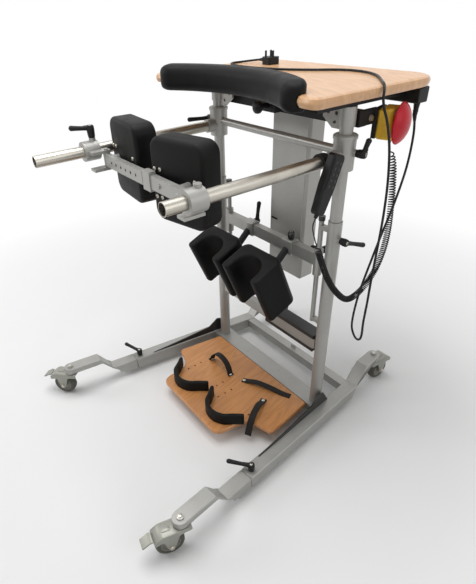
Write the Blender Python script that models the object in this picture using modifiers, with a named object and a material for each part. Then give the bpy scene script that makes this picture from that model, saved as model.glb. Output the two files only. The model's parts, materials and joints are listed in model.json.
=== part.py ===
"""Patient standing aid: a wheeled frame with leg tubes, telescopic uprights, a tray, handrails,
hip and knee supports, a lift column and a footplate. Metres, +Z up. The person faces +Y.
Shapes are drawn in a frame whose origin is on the floor midway between the uprights.
"""
import math

import bmesh
import bpy
from mathutils import Matrix, Vector

# Driving dimensions of the uprights and the handrails
UPRIGHT_HALF_SPAN = 0.280
UPRIGHT_OD = 0.0424
UPRIGHT_BORE = 0.0372
UPRIGHT_TOP = 0.789
INNER_TUBE_OD = 0.0362
INNER_TUBE_BOTTOM = 0.450
HANDRAIL_OD = 0.0337
HANDRAIL_BORE = 0.0297
LEFT_HANDRAIL_END = -0.655
RIGHT_HANDRAIL_END = -0.565
COLLAR_RADIUS = 0.030

# Driving dimensions of the base
LEG_SIZE = 0.050
LEG_WALL = 0.003
LEG_BOTTOM = 0.020
LEG_TOP = LEG_BOTTOM + LEG_SIZE
LEG_SPLAY = math.radians(7.0)
LEG_JOINT = -0.420
NECK_BOTTOM = 0.110
NECK_TOP = 0.135
FRONT_KINGPIN = -0.692
REAR_KINGPIN = 0.316
TONGUE_LENGTH = 0.200
FOOTPLATE_TOP = 0.066
FOOTPLATE_THICKNESS = 0.018
FOOTPLATE_REAR = -0.036
FOOTPLATE_FRONT = -0.395

# Driving dimensions of the casters
WHEEL_RADIUS = 0.045
WHEEL_WIDTH = 0.034
TRAIL = 0.040
FORK_WIDTH = 0.050
AXLE_RADIUS = 0.006

# Driving dimensions of the tray
TRAY_TOP = 1.148
TRAY_THICKNESS = 0.026
TRAY_HALF_WIDTH = 0.355
TRAY_REAR = 0.275
TRAY_FRONT = -0.200
CUTOUT_HALF_WIDTH = 0.300
CUTOUT_DEPTH = 0.100

# Driving dimensions of the supports
KNEE_BAR_Z = 0.645
KNEE_BAR_HEIGHT = 0.040
KNEE_BAR_DEPTH = 0.025
GUIDE_ROD_INSET = 0.052
GUIDE_ROD_RADIUS = 0.008
KNEE_PAD_X = 0.100
KNEE_PAD_SIZE = (0.178, 0.122, 0.190)
KNEE_PAD_TILT = math.radians(23.0)
HIP_CLAMP_Y = -0.484
HIP_ARM_Y = -0.452
HIP_PIVOT_INSET = 0.044
HIP_PAD_SIZE = (0.190, 0.070, 0.250)
HIP_PAD_X = {"left": -0.160, "right": 0.1017}
HIP_PAD_FORWARD = {"left": 0.0570, "right": 0.0633}
HIP_PAD_YAW = {"left": math.radians(-5.0), "right": math.radians(12.0)}
COLUMN_HALF_WIDTH = 0.085
COLUMN_FRONT = 0.075
COLUMN_REAR = 0.143
COLUMN_HEIGHT = 0.5697

# Clearances: SEAT is the gap that touching pieces keep, RUN is the gap of a sliding or turning fit
SEAT = 0.0003
RUN = 0.0005

# How far a fused round end stays inside the flat faces beside it
SKIN = 0.0006

# A plate's outline (a, b) and depth c, turned to stand along Y, along X or lie flat
STAND_ALONG_Y = Matrix(((0, 0, 1, 0), (1, 0, 0, 0), (0, 1, 0, 0), (0, 0, 0, 1)))
STAND_ALONG_X = Matrix(((1, 0, 0, 0), (0, 0, -1, 0), (0, 1, 0, 0), (0, 0, 0, 1)))

# Places that follow from the driving dimensions, from the tray downwards
LEG_OFFSET = UPRIGHT_HALF_SPAN + UPRIGHT_OD / 2 + 0.0025 + LEG_SIZE / 2 / math.cos(LEG_SPLAY)
FOOTPLATE_BOTTOM = FOOTPLATE_TOP - FOOTPLATE_THICKNESS
TRAY_BOTTOM = TRAY_TOP - TRAY_THICKNESS
CONTROL_BOTTOM = TRAY_BOTTOM - 0.040
INNER_TUBE_TOP = TRAY_BOTTOM - 0.0225
BEAM_TOP = INNER_TUBE_TOP - 0.0145
BEAM_BOTTOM = BEAM_TOP - 0.040
COLUMN_TOP = BEAM_BOTTOM - SEAT
COLUMN_BOTTOM = COLUMN_TOP - COLUMN_HEIGHT
HANDRAIL_Z = TRAY_TOP - 0.174
COLLAR_BOTTOM = HANDRAIL_Z - 0.035
COLLAR_TOP = HANDRAIL_Z + 0.057
HIP_ARM_Z = HANDRAIL_Z - 0.024
UPRIGHT_LEVER_Z = UPRIGHT_TOP - 0.054

# The emergency stop, beside the right upright: the middle of its box's front, and its turn from +Y
STOP_CENTRE = (UPRIGHT_HALF_SPAN + 0.058, COLUMN_FRONT + 0.049, BEAM_BOTTOM + 0.002)
STOP_TURN = math.radians(-73.0)
STOP_WIDTH = 0.068
STOP_DEPTH = 0.040
STOP_HEIGHT = 0.078
STOP_GLAND = (-0.022, -0.012, -STOP_HEIGHT / 2 - 0.012)

# The handset and its curly cord
HANDSET_TILT = math.radians(-21.0)
HANDSET_CENTRE = (UPRIGHT_HALF_SPAN + 0.036, -0.096, HANDRAIL_Z - 0.047)
HANDSET_LENGTH = 0.158
CURL_RADIUS = 0.0080
CURL_WIRE = 0.0021
CURLS = 64
CURL_POINTS = 8

# The mains lead, its gland below the control box and its plug on the tray
MAINS_RADIUS = 0.0033
GLAND = (UPRIGHT_HALF_SPAN + 0.046, TRAY_REAR - 0.052, CONTROL_BOTTOM - 0.019)
PLUG_END = (-0.225, 0.160, TRAY_TOP + 0.011 + SEAT)

SIDES = (("left", -1), ("right", 1))
LEVER_PARENTS = {
    "left_leg_lever": "base", "right_leg_lever": "base", "upright_lever": "base",
    "left_collar_lever": "handrails", "right_collar_lever": "handrails", "hip_lever": "hip_carriage",
    "left_knee_lever": "left_knee", "right_knee_lever": "right_knee", "knee_height_lever": "knee_bar",
}

for thing in list(bpy.data.objects):
    bpy.data.objects.remove(thing, do_unlink=True)


def new_collection(name):
    group = bpy.data.collections.new(name)
    bpy.context.scene.collection.children.link(group)
    return group


PARTS = new_collection("patient_standing_aid")
TOOLS = new_collection("cutters")
BODY_POINTS = {}
BODIES = {}
MATERIALS = {}


def material(name, colour, roughness, metallic=0.0):
    """A Principled material, made once for each name."""
    if name not in MATERIALS:
        made = bpy.data.materials.new(name)
        made.use_nodes = True
        shader = made.node_tree.nodes["Principled BSDF"]
        shader.inputs["Base Color"].default_value = (*colour, 1.0)
        shader.inputs["Roughness"].default_value = roughness
        shader.inputs["Metallic"].default_value = metallic
        MATERIALS[name] = made
    return MATERIALS[name]


def silver_paint():
    return material("silver_paint", (0.55, 0.56, 0.55), 0.42, 0.6)


def satin_steel():
    return material("satin_steel", (0.62, 0.60, 0.56), 0.28, 1.0)


def caster_silver():
    return material("caster_silver", (0.60, 0.60, 0.57), 0.38, 0.6)


def black_plastic():
    return material("black_plastic", (0.025, 0.025, 0.027), 0.5)


def black_steel():
    return material("black_steel", (0.030, 0.030, 0.032), 0.45)


def cord_black():
    return material("cord_black", (0.020, 0.020, 0.020), 0.55)


def wheel_grey():
    return material("wheel_grey", (0.20, 0.20, 0.19), 0.6)


def black_foam():
    return material("black_foam", (0.018, 0.018, 0.019), 0.65)


def black_webbing():
    return material("black_webbing", (0.020, 0.020, 0.021), 0.8)


def beech():
    return material("beech", (0.72, 0.42, 0.21), 0.45)


def stop_yellow():
    return material("stop_yellow", (0.80, 0.52, 0.03), 0.4)


def stop_red():
    return material("stop_red", (0.62, 0.03, 0.05), 0.3)


def body(name, point, parent=None):
    """An empty at a joint, or at the frame's origin, that carries the pieces of one rigid body."""
    empty = bpy.data.objects.new("pivot_" + name, None)
    PARTS.objects.link(empty)
    base = Vector((0, 0, 0))
    if parent:
        empty.parent = BODIES[parent]
        base = BODY_POINTS[parent]
    empty.location = Vector(point) - base
    BODIES[name] = empty
    BODY_POINTS[name] = Vector(point)
    return empty


def place(thing, body_name, location, rotation):
    thing.parent = BODIES[body_name]
    thing.location = Vector(location) - BODY_POINTS[body_name]
    thing.rotation_euler = rotation
    return thing


def part(name, mesh, look, body_name="base", location=(0, 0, 0), rotation=(0, 0, 0)):
    """A named piece of the object, with its own material."""
    thing = bpy.data.objects.new(name, mesh)
    PARTS.objects.link(thing)
    mesh.materials.clear()
    mesh.materials.append(look)
    return place(thing, body_name, location, rotation)


def boolean(target, meshes, operation, location=(0, 0, 0), rotation=(0, 0, 0)):
    """Joins or cuts the target by each mesh, kept as a hidden tool beside the parts."""
    for mesh in meshes:
        tool = bpy.data.objects.new(target.name + "_tool", mesh)
        TOOLS.objects.link(tool)
        place(tool, "base", location, rotation)
        tool.hide_render = True
        tool.display_type = "WIRE"
        step = target.modifiers.new(operation.lower(), "BOOLEAN")
        step.operation = operation
        step.solver = "EXACT"
        step.object = tool
    return target


def fuse(target, *meshes, location=(0, 0, 0), rotation=(0, 0, 0)):
    return boolean(target, meshes, "UNION", location, rotation)


def cut(target, *meshes, location=(0, 0, 0), rotation=(0, 0, 0)):
    return boolean(target, meshes, "DIFFERENCE", location, rotation)


def round_edges(thing, width, segments=1, angle=30.0):
    step = thing.modifiers.new("rounded", "BEVEL")
    step.width = width
    step.segments = segments
    step.limit_method = "ANGLE"
    step.angle_limit = math.radians(angle)
    return thing


def to_mesh(work, name="shape"):
    """A mesh whose faces all point outwards."""
    work.normal_update()
    bmesh.ops.recalc_face_normals(work, faces=work.faces)
    if work.calc_volume(signed=True) < 0:
        bmesh.ops.reverse_faces(work, faces=work.faces)
    mesh = bpy.data.meshes.new(name)
    work.to_mesh(mesh)
    work.free()
    mesh.shade_smooth()
    mesh.set_sharp_from_angle(angle=math.radians(35))
    return mesh


def box(low, high):
    """A block between two corners."""
    low, high = Vector(low), Vector(high)
    work = bmesh.new()
    bmesh.ops.create_cube(work, size=1.0)
    bmesh.ops.scale(work, vec=high - low, verts=work.verts)
    bmesh.ops.translate(work, vec=(low + high) / 2, verts=work.verts)
    return to_mesh(work)


def rod(start, end, radius, sides=16, end_radius=None):
    """A round bar, or a taper, between two points."""
    start, end = Vector(start), Vector(end)
    work = bmesh.new()
    last = radius if end_radius is None else end_radius
    length = (end - start).length
    bmesh.ops.create_cone(work, cap_ends=True, segments=sides, radius1=radius, radius2=last, depth=length)
    turn = (end - start).to_track_quat("Z", "Y").to_matrix().to_4x4()
    work.transform(Matrix.Translation((start + end) / 2) @ turn)
    return to_mesh(work)


def curve_mesh(curve):
    """The welded mesh of a curve object, which is then removed."""
    thing = bpy.data.objects.new("curve", curve)
    TOOLS.objects.link(thing)
    graph = bpy.context.evaluated_depsgraph_get()
    mesh = bpy.data.meshes.new_from_object(thing.evaluated_get(graph))
    bpy.data.objects.remove(thing, do_unlink=True)
    work = bmesh.new()
    work.from_mesh(mesh)
    bmesh.ops.remove_doubles(work, verts=work.verts, dist=0.00001)
    return to_mesh(work)


def add_spline(curve, points, cyclic, radii=None):
    spline = curve.splines.new("POLY")
    spline.points.add(len(points) - 1)
    for index, point in enumerate(points):
        spline.points[index].co = (*point, 1.0)
        spline.points[index].radius = radii[index] if radii else 1.0
    spline.use_cyclic_u = cyclic


def plate(outline, thickness, turn=None, shift=(0, 0, 0)):
    """A flat outline with a thickness, centred on its own plane, then turned and shifted."""
    work = bmesh.new()
    rim = [work.verts.new((a, b, -thickness / 2)) for a, b in outline]
    grown = bmesh.ops.extrude_face_region(work, geom=[work.faces.new(rim)])
    raised = [item for item in grown["geom"] if isinstance(item, bmesh.types.BMVert)]
    bmesh.ops.translate(work, vec=(0, 0, thickness), verts=raised)
    bmesh.ops.remove_doubles(work, verts=work.verts, dist=0.00001)
    work.transform(Matrix.Translation(shift) @ (turn or Matrix.Identity(4)))
    return to_mesh(work)


def pipe(points, radius, resolution=2, radii=None):
    """A round tube along a line of points."""
    curve = bpy.data.curves.new("pipe", "CURVE")
    curve.dimensions = "3D"
    curve.bevel_depth = radius
    curve.bevel_resolution = resolution
    curve.use_fill_caps = True
    add_spline(curve, points, False, radii)
    return curve_mesh(curve)


def turned(thing, profile, steps):
    """Turns an object's profile (radius, height), listed from the top down, about its Z axis."""
    work = bmesh.new()
    corners = [work.verts.new((radius, 0.0, height)) for radius, height in profile]
    for first, second in zip(corners, corners[1:]):
        work.edges.new((first, second))
    if profile[0][0] > 0:
        work.edges.new((corners[-1], corners[0]))
    work.to_mesh(thing.data)
    work.free()
    step = thing.modifiers.new("turned", "SCREW")
    step.steps = steps
    step.render_steps = steps
    step.use_merge_vertices = True
    step.merge_threshold = 0.00001
    return thing


def filleted(corners, steps=4):
    """An outline whose corners (x, y, radius) are rounded by arcs, convex or concave."""
    outline = []
    count = len(corners)
    for index, (x, y, radius) in enumerate(corners):
        corner = Vector((x, y))
        before = (Vector(corners[index - 1][:2]) - corner).normalized()
        after = (Vector(corners[(index + 1) % count][:2]) - corner).normalized()
        if radius == 0:
            outline.append((x, y))
            continue
        half = before.angle(after) / 2
        centre = corner + (before + after).normalized() * radius / math.sin(half)
        start = corner + before * radius / math.tan(half) - centre
        end = corner + after * radius / math.tan(half) - centre
        turn = start.angle_signed(end)
        for step in range(steps + 1):
            point = start.copy()
            point.rotate(Matrix.Rotation(-turn * step / steps, 2))
            outline.append(tuple(centre + point))
    return outline


def band(points, width, end_steps=4):
    """The outline of a strip of constant width along a line of points, with round ends."""
    line = [Vector(point) for point in points]
    sides = ([], [])
    for index, point in enumerate(line):
        before = line[max(index - 1, 0)]
        after = line[min(index + 1, len(line) - 1)]
        along = (after - before).normalized()
        across = Vector((-along.y, along.x)) * width / 2
        sides[0].append(point + across)
        sides[1].append(point - across)
    outline = list(sides[0])
    for tip, start in ((line[-1], sides[0][-1]), (line[0], sides[1][0])):
        for step in range(1, end_steps):
            spoke = start - tip
            spoke.rotate(Matrix.Rotation(-math.pi * step / end_steps, 2))
            outline.append(tip + spoke)
        if tip == line[-1]:
            outline.extend(reversed(sides[1]))
    return [tuple(point) for point in outline]


def smooth_line(points, steps):
    """Points on a smooth curve through the route's own points."""
    line = [Vector(point) for point in points]
    ends = [2 * line[0] - line[1]] + line + [2 * line[-1] - line[-2]]
    result = []
    for index in range(1, len(ends) - 2):
        before, here, there, after = ends[index - 1:index + 3]
        for step in range(steps):
            t = step / steps
            result.append(0.5 * (2 * here + (there - before) * t
                                 + (2 * before - 5 * here + 4 * there - after) * t * t
                                 + (3 * here - before - 3 * there + after) * t ** 3))
    result.append(line[-1])
    return result


def even_line(points, count):
    """The same line, read at equal steps of its length."""
    lengths = [0.0]
    for first, second in zip(points, points[1:]):
        lengths.append(lengths[-1] + (second - first).length)
    result = []
    index = 0
    for number in range(count):
        wanted = lengths[-1] * number / (count - 1)
        while index < len(points) - 2 and lengths[index + 1] < wanted:
            index += 1
        share = (wanted - lengths[index]) / (lengths[index + 1] - lengths[index])
        result.append(points[index].lerp(points[index + 1], min(max(share, 0.0), 1.0)))
    return result, lengths[-1]


def cushion(size, cuts, power, bend=0.0):
    """A padded block: a cube drawn in towards a rounded form, with its wings bent along +Y."""
    work = bmesh.new()
    bmesh.ops.create_cube(work, size=2.0)
    bmesh.ops.subdivide_edges(work, edges=work.edges, cuts=cuts, use_grid_fill=True)
    for vertex in work.verts:
        spread = sum(abs(value) ** power for value in vertex.co) ** (-1.0 / power)
        x, y, z = vertex.co * spread
        vertex.co = (x * size[0] / 2, y * size[1] / 2 + bend * x * x, z * size[2] / 2)
    return to_mesh(work)


def lever(name, body_name, seat, axis, arm, hub=0.022, reach=0.075):
    """A black clamp lever: a hub along its screw and a tapered arm that leaves it at the top."""
    axis, arm, seat = Vector(axis).normalized(), Vector(arm).normalized(), Vector(seat)
    body(body_name, seat, LEVER_PARENTS[body_name])
    turn = axis * hub
    points = [axis * SEAT, turn * 0.75, turn + arm * 0.010, turn + arm * reach * 0.55, turn + arm * reach]
    mesh = pipe(points, 0.0075, 2, (1.25, 1.25, 1.05, 0.80, 1.0))
    return part(name, mesh, black_plastic(), body_name, seat)


def leg_place(side):
    """Where a leg's own frame lies: its Y runs along the leg, to the rear."""
    return (side * LEG_OFFSET, 0.0, 0.0), (0.0, 0.0, side * LEG_SPLAY)


def leg_point(side, along, z=0.0, across=0.0):
    """A point of a leg's own frame in the whole frame; across runs outwards."""
    location, rotation = leg_place(side)
    point = Vector((side * across, along, z))
    point.rotate(Matrix.Rotation(rotation[2], 3, "Z"))
    return point + Vector(location)


def leg_inner_x(y):
    """How far out the right leg's inner face lies at a place along Y."""
    near = leg_point(1, -1.0, 0.0, -LEG_SIZE / 2)
    far = leg_point(1, 1.0, 0.0, -LEG_SIZE / 2)
    return near.x + (far.x - near.x) * (y - near.y) / (far.y - near.y)


def between_legs(front, rear, low, high):
    """A bar from leg to leg, with its ends cut to the legs' splay."""
    near, far = leg_inner_x(front) - SEAT, leg_inner_x(rear) - SEAT
    outline = [(-near, front), (near, front), (far, rear), (-far, rear)]
    return plate(outline, high - low, None, (0, 0, (low + high) / 2))


def make_leg(name, side):
    """Square leg tube, open at the front, with its rear swan neck and its gusset plate."""
    ramp = 0.060
    low, high = REAR_KINGPIN - 0.166, REAR_KINGPIN - 0.141
    outline = [
        (LEG_JOINT, LEG_BOTTOM), (low, LEG_BOTTOM), (low + ramp, NECK_BOTTOM),
        (REAR_KINGPIN, NECK_BOTTOM), (REAR_KINGPIN, NECK_TOP), (high + ramp, NECK_TOP),
        (high, LEG_TOP), (LEG_JOINT, LEG_TOP),
    ]
    location, rotation = leg_place(side)
    leg = part(name, plate(outline, LEG_SIZE, STAND_ALONG_Y), silver_paint(), "base", location, rotation)
    round_edges(leg, LEG_WALL * 0.8, 1, 80)
    inner = -side * (LEG_SIZE / 2 - 0.0070)
    gusset = [
        (0.040, LEG_TOP - 0.001), (0.006, LEG_TOP + 0.055), (-0.020, LEG_TOP + 0.062),
        (-0.062, LEG_TOP + 0.030), (-0.200, LEG_TOP + 0.014), (LEG_JOINT + 0.060, LEG_TOP - 0.001),
    ]
    round_end = LEG_SIZE / 2 - SKIN
    fuse(
        leg,
        rod((0, REAR_KINGPIN, NECK_BOTTOM + SKIN), (0, REAR_KINGPIN, NECK_TOP - SKIN), round_end, 16),
        rod((0, REAR_KINGPIN, NECK_TOP - 0.002), (0, REAR_KINGPIN, NECK_TOP + 0.007), 0.011, 6),
        plate(gusset, 0.005, STAND_ALONG_Y, (inner, 0, 0)),
        location=location, rotation=rotation)
    half = LEG_SIZE / 2 - LEG_WALL
    bore = box((-half, LEG_JOINT - 0.01, LEG_BOTTOM + LEG_WALL), (half, 0.10, LEG_TOP - LEG_WALL))
    cut(leg, bore, location=location, rotation=rotation)


def make_front_leg(name, side):
    """Front leg: a tongue that slides in the leg tube, and a swan neck over the caster."""
    location, rotation = leg_place(side)
    body(name, leg_point(side, LEG_JOINT), "base")
    end = LEG_JOINT - 0.0015
    outline = [
        (end, LEG_TOP), (LEG_JOINT - 0.107, LEG_TOP), (LEG_JOINT - 0.155, NECK_TOP),
        (FRONT_KINGPIN, NECK_TOP), (FRONT_KINGPIN, NECK_BOTTOM), (LEG_JOINT - 0.147, NECK_BOTTOM),
        (LEG_JOINT - 0.085, LEG_BOTTOM + 0.027), (LEG_JOINT - 0.080, LEG_BOTTOM + 0.014),
        (LEG_JOINT - 0.066, LEG_BOTTOM + 0.010), (LEG_JOINT - 0.058, LEG_BOTTOM), (end, LEG_BOTTOM),
    ]
    leg = part(name, plate(outline, LEG_SIZE, STAND_ALONG_Y), silver_paint(), name, location, rotation)
    round_edges(leg, LEG_WALL * 0.8, 1, 80)
    half = LEG_SIZE / 2 - LEG_WALL - RUN
    middle = (LEG_TOP + LEG_BOTTOM) / 2
    round_end = LEG_SIZE / 2 - SKIN
    fuse(
        leg,
        box((-half, end - 0.02, middle - half), (half, LEG_JOINT + TONGUE_LENGTH, middle + half)),
        rod((0, FRONT_KINGPIN, NECK_BOTTOM + SKIN), (0, FRONT_KINGPIN, NECK_TOP - SKIN), round_end, 16),
        rod((0, FRONT_KINGPIN, NECK_TOP - 0.002), (0, FRONT_KINGPIN, NECK_TOP + 0.004), 0.012, 16),
        location=location, rotation=rotation)


def make_caster(name, kingpin, angle, parent, braked):
    """Swivel caster: a pressed hood with its axle, a wheel and, on the front pair, a brake pedal."""
    point = (kingpin.x, kingpin.y, 0.0)
    body(name + "_swivel", point, parent)
    turn = (0.0, 0.0, angle)
    top = NECK_BOTTOM - SEAT
    hood = [
        (-0.026, top - 0.028), (0.026, 0.036), (0.056, 0.036), (0.088, 0.062), (0.088, 0.090),
        (0.066, top - 0.003), (-0.026, top - 0.003),
    ]
    pressing = plate(hood, FORK_WIDTH, STAND_ALONG_X)
    fork = part(name + "_fork", pressing, caster_silver(), name + "_swivel", point, turn)
    well = WHEEL_WIDTH / 2 + 0.003
    cut(fork, box((-0.1, -well, -0.1), (0.0845, well, top - 0.010)), location=point, rotation=turn)
    fuse(
        fork,
        rod((TRAIL, -FORK_WIDTH / 2 - 0.002, WHEEL_RADIUS), (TRAIL, FORK_WIDTH / 2 + 0.002, WHEEL_RADIUS),
            AXLE_RADIUS, 10),
        rod((0, 0, top - 0.005), (0, 0, top), 0.021, 12),
        location=point, rotation=turn)
    rib = box((0.034, -0.008, top - 0.005), (0.060, 0.008, top - 0.0005))
    fuse(fork, rib, location=point, rotation=turn)
    axle = Matrix.Rotation(angle, 3, "Z") @ Vector((TRAIL, 0, WHEEL_RADIUS)) + Vector(point)
    body(name + "_wheel", axle, name + "_swivel")
    wheel = part(
        name + "_wheel", bpy.data.meshes.new("wheel"), wheel_grey(), name + "_wheel", axle,
        (math.pi / 2, 0.0, angle))
    bore, side = AXLE_RADIUS + 0.0004, WHEEL_WIDTH / 2
    half = [(bore, side - 0.003), (WHEEL_RADIUS * 0.66, side - 0.003), (WHEEL_RADIUS * 0.72, side),
            (WHEEL_RADIUS, side - 0.007)]
    turned(wheel, half + [(radius, -height) for radius, height in reversed(half)], 20)
    if braked:
        hinge = Matrix.Rotation(angle, 3, "Z") @ Vector((0.0893, 0, 0.092)) + Vector(point)
        body(name + "_pedal", hinge, name + "_swivel")
        tab = [(0.0887, 0.0895), (0.099, 0.0885), (0.120, 0.076), (0.123, 0.080), (0.100, 0.0945),
               (0.0887, 0.0945)]
        pedal = plate(tab, 0.034, STAND_ALONG_X)
        part(name + "_pedal", pedal, caster_silver(), name + "_pedal", point, turn)


def make_upright(name, side):
    """Outer upright tube, open at the top, with the guide rod that the knee bar slides on."""
    rod_x = -side * GUIDE_ROD_INSET
    location = (side * UPRIGHT_HALF_SPAN, 0.0, 0.0)
    radius = UPRIGHT_OD / 2
    foot = FOOTPLATE_TOP - 0.001 + SEAT
    tube = part(name, rod((0, 0, foot), (0, 0, UPRIGHT_TOP), radius, 20), silver_paint(), "base", location)
    low, high = KNEE_BAR_Z - 0.225, KNEE_BAR_Z + 0.110
    pieces = [rod((rod_x, 0, low - 0.012), (rod_x, 0, high + 0.026), GUIDE_ROD_RADIUS, 16),
              rod((rod_x, 0, high + 0.020), (rod_x, 0, high + 0.034), GUIDE_ROD_RADIUS + 0.0025, 16)]
    for height in (low, high):
        pieces.append(box((min(0, rod_x), -0.008, height - 0.007), (max(0, rod_x), 0.008, height + 0.007)))
    if side > 0:
        pieces.append(rod((0, SKIN, UPRIGHT_LEVER_Z), (radius + 0.006, SKIN, UPRIGHT_LEVER_Z), 0.010, 14))
    fuse(tube, *pieces, location=location)
    cut(tube, rod((0, 0, 0.15), (0, 0, UPRIGHT_TOP + 0.02), UPRIGHT_BORE / 2, 20), location=location)


def make_base():
    body("base", (0, 0, 0))
    for word, side in SIDES:
        make_leg(word + "_leg", side)
        make_upright(word + "_upright", side)
    make_cross_tubes()
    make_footplate()
    for word, side in SIDES:
        make_front_leg(word + "_front_leg", side)
    lever("left_leg_lever", "left_leg_lever", leg_point(-1, LEG_JOINT + 0.022, LEG_TOP), (0, 0, 1),
          (-0.93, -0.36, 0.12), 0.020, 0.080)
    lever("right_leg_lever", "right_leg_lever", leg_point(1, LEG_JOINT + 0.022, LEG_TOP), (0, 0, 1),
          (-0.72, -0.68, 0.12), 0.020, 0.080)
    front = (("left", -1, math.radians(222)), ("right", 1, math.radians(257)))
    for word, side, angle in front:
        make_caster(word + "_front_caster", leg_point(side, FRONT_KINGPIN), angle, word + "_front_leg", True)
    for word, side in SIDES:
        make_caster(word + "_rear_caster", leg_point(side, REAR_KINGPIN), math.radians(90), "base", False)


def make_cross_tubes():
    """The rear cross tube, the carrier below the footplate and the crossbar between the uprights."""
    rear_y = REAR_KINGPIN - 0.158
    tube_mesh = between_legs(rear_y - 0.018, rear_y + 0.018, LEG_TOP - 0.040, LEG_TOP - 0.004)
    tube = part("rear_cross_tube", tube_mesh, silver_paint())
    fuse(tube, box((-0.012, rear_y - 0.003, LEG_TOP - 0.006), (0.012, rear_y + 0.003, LEG_TOP + 0.012)))
    carrier = part("footplate_carrier",
                   between_legs(FOOTPLATE_REAR + SEAT, 0.035, FOOTPLATE_TOP - 0.031, FOOTPLATE_TOP - 0.001),
                   silver_paint())
    for side in (-1, 1):
        arm = box((side * 0.13 - 0.02, FOOTPLATE_FRONT + 0.06, FOOTPLATE_BOTTOM - 0.016 - SEAT),
                  (side * 0.13 + 0.02, 0.0, FOOTPLATE_BOTTOM - SEAT))
        fuse(carrier, arm)
    reach = UPRIGHT_HALF_SPAN - UPRIGHT_OD / 2 - SEAT
    bar_z = KNEE_BAR_Z - 0.320
    bar = part("lower_crossbar", box((-reach, -0.0125, bar_z - 0.020), (reach, 0.0125, bar_z + 0.020)),
               silver_paint())
    channel = [(-0.015, bar_z + 0.0195), (0.024, bar_z + 0.0195), (0.024, bar_z - 0.0195),
               (-0.015, bar_z - 0.0195), (-0.015, bar_z - 0.034), (0.034, bar_z - 0.034),
               (0.034, bar_z + 0.034), (-0.015, bar_z + 0.034)]
    length = reach - 0.010
    fuse(bar, plate(channel, length, STAND_ALONG_Y, (length / 2 + 0.005, 0, 0)),
         box((0.02, 0.0, bar_z - 0.012), (reach - 0.02, 0.026, bar_z + 0.012)))


def footplate_outline():
    half = [(UPRIGHT_HALF_SPAN - 0.008, FOOTPLATE_REAR, 0.012),
            (UPRIGHT_HALF_SPAN + 0.020, FOOTPLATE_REAR - 0.200, 0.014),
            (0.198, FOOTPLATE_REAR - 0.228, 0.055), (0.182, FOOTPLATE_FRONT, 0.035)]
    other = [(-x, y, radius) for x, y, radius in reversed(half)]
    return filleted(half + other, 3)


def make_footplate():
    """Plywood footplate with its rows of holes, two heel cups and three webbing straps."""
    middle = (FOOTPLATE_TOP + FOOTPLATE_BOTTOM) / 2
    board = part("footplate", plate(footplate_outline(), FOOTPLATE_THICKNESS, None, (0, 0, middle)), beech())
    round_edges(board, 0.004, 1, 60)
    for x in (-0.170, -0.015, 0.039, 0.184):
        for y in (-0.215, -0.246, -0.278):
            cut(board, rod((x, y, FOOTPLATE_BOTTOM - 0.01), (x, y, FOOTPLATE_TOP + 0.01), 0.004, 6))
    for word, side in SIDES:
        centre = Vector((side * 0.110, FOOTPLATE_FRONT + 0.108))
        curve = []
        for step in range(10):
            angle = math.radians(205 + 130 * step / 9)
            curve.append(centre + 0.076 * Vector((math.cos(angle), math.sin(angle))))
        first = (curve[0] - curve[1]).normalized() * 0.032 + curve[0] + Vector((-0.008, 0))
        last = (curve[-1] - curve[-2]).normalized() * 0.032 + curve[-1] + Vector((0.008, 0))
        shift = (0, 0, FOOTPLATE_TOP + SEAT + 0.0225)
        strip = plate(band([first] + curve + [last], 0.015), 0.045, None, shift)
        cup = part(word + "_heel_cup", strip, black_foam())
        round_edges(cup, 0.004, 1, 60)
    make_strap("left_strap", (-0.168, -0.165), (-0.023, -0.165),
               ((0.0, 0.0), (0.012, 0.004), (0.022, 0.030), (0.045, 0.052), (0.080, 0.058), (0.112, 0.046),
                (0.130, 0.022), (0.135, 0.004), (0.145, 0.0)), (0, 1))
    make_strap("middle_strap", (0.024, -0.146), (0.232, -0.052),
               ((0.0, 0.0), (0.020, 0.002), (0.060, 0.013), (0.120, 0.010), (0.170, 0.001), (0.205, 0.0)),
               (0,))
    make_strap("right_strap", (0.160, -0.150), (0.245, -0.312),
               ((0.0, 0.0), (0.016, 0.002), (0.050, 0.020), (0.090, 0.024), (0.128, 0.010), (0.150, -0.020),
                (0.160, -0.036)), (0,))


def make_strap(name, start, end, path, riveted_ends):
    """Webbing strap: a path (along, up) swept across its width, with rivet heads at its held ends."""
    thickness, width = 0.003, 0.024
    heading = (Vector(end) - Vector(start)).normalized()
    line = smooth_line([(along, up, 0.0) for along, up in path], 2)
    outline = band([(point.x, point.y) for point in line], thickness, 2)
    frame = Matrix.Rotation(math.atan2(heading.y, heading.x), 4, "Z") @ STAND_ALONG_X
    rest = FOOTPLATE_TOP + SEAT + thickness / 2
    strap = part(name, plate(outline, width, frame, (*start, rest)), black_webbing())
    for index in riveted_ends:
        along, up = path[-index]
        foot = Vector((*start, rest + up)) + Vector((*heading, 0)) * along
        fuse(strap, rod(foot, foot + Vector((0, 0, 0.005)), 0.0075, 12, 0.005))


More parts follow.
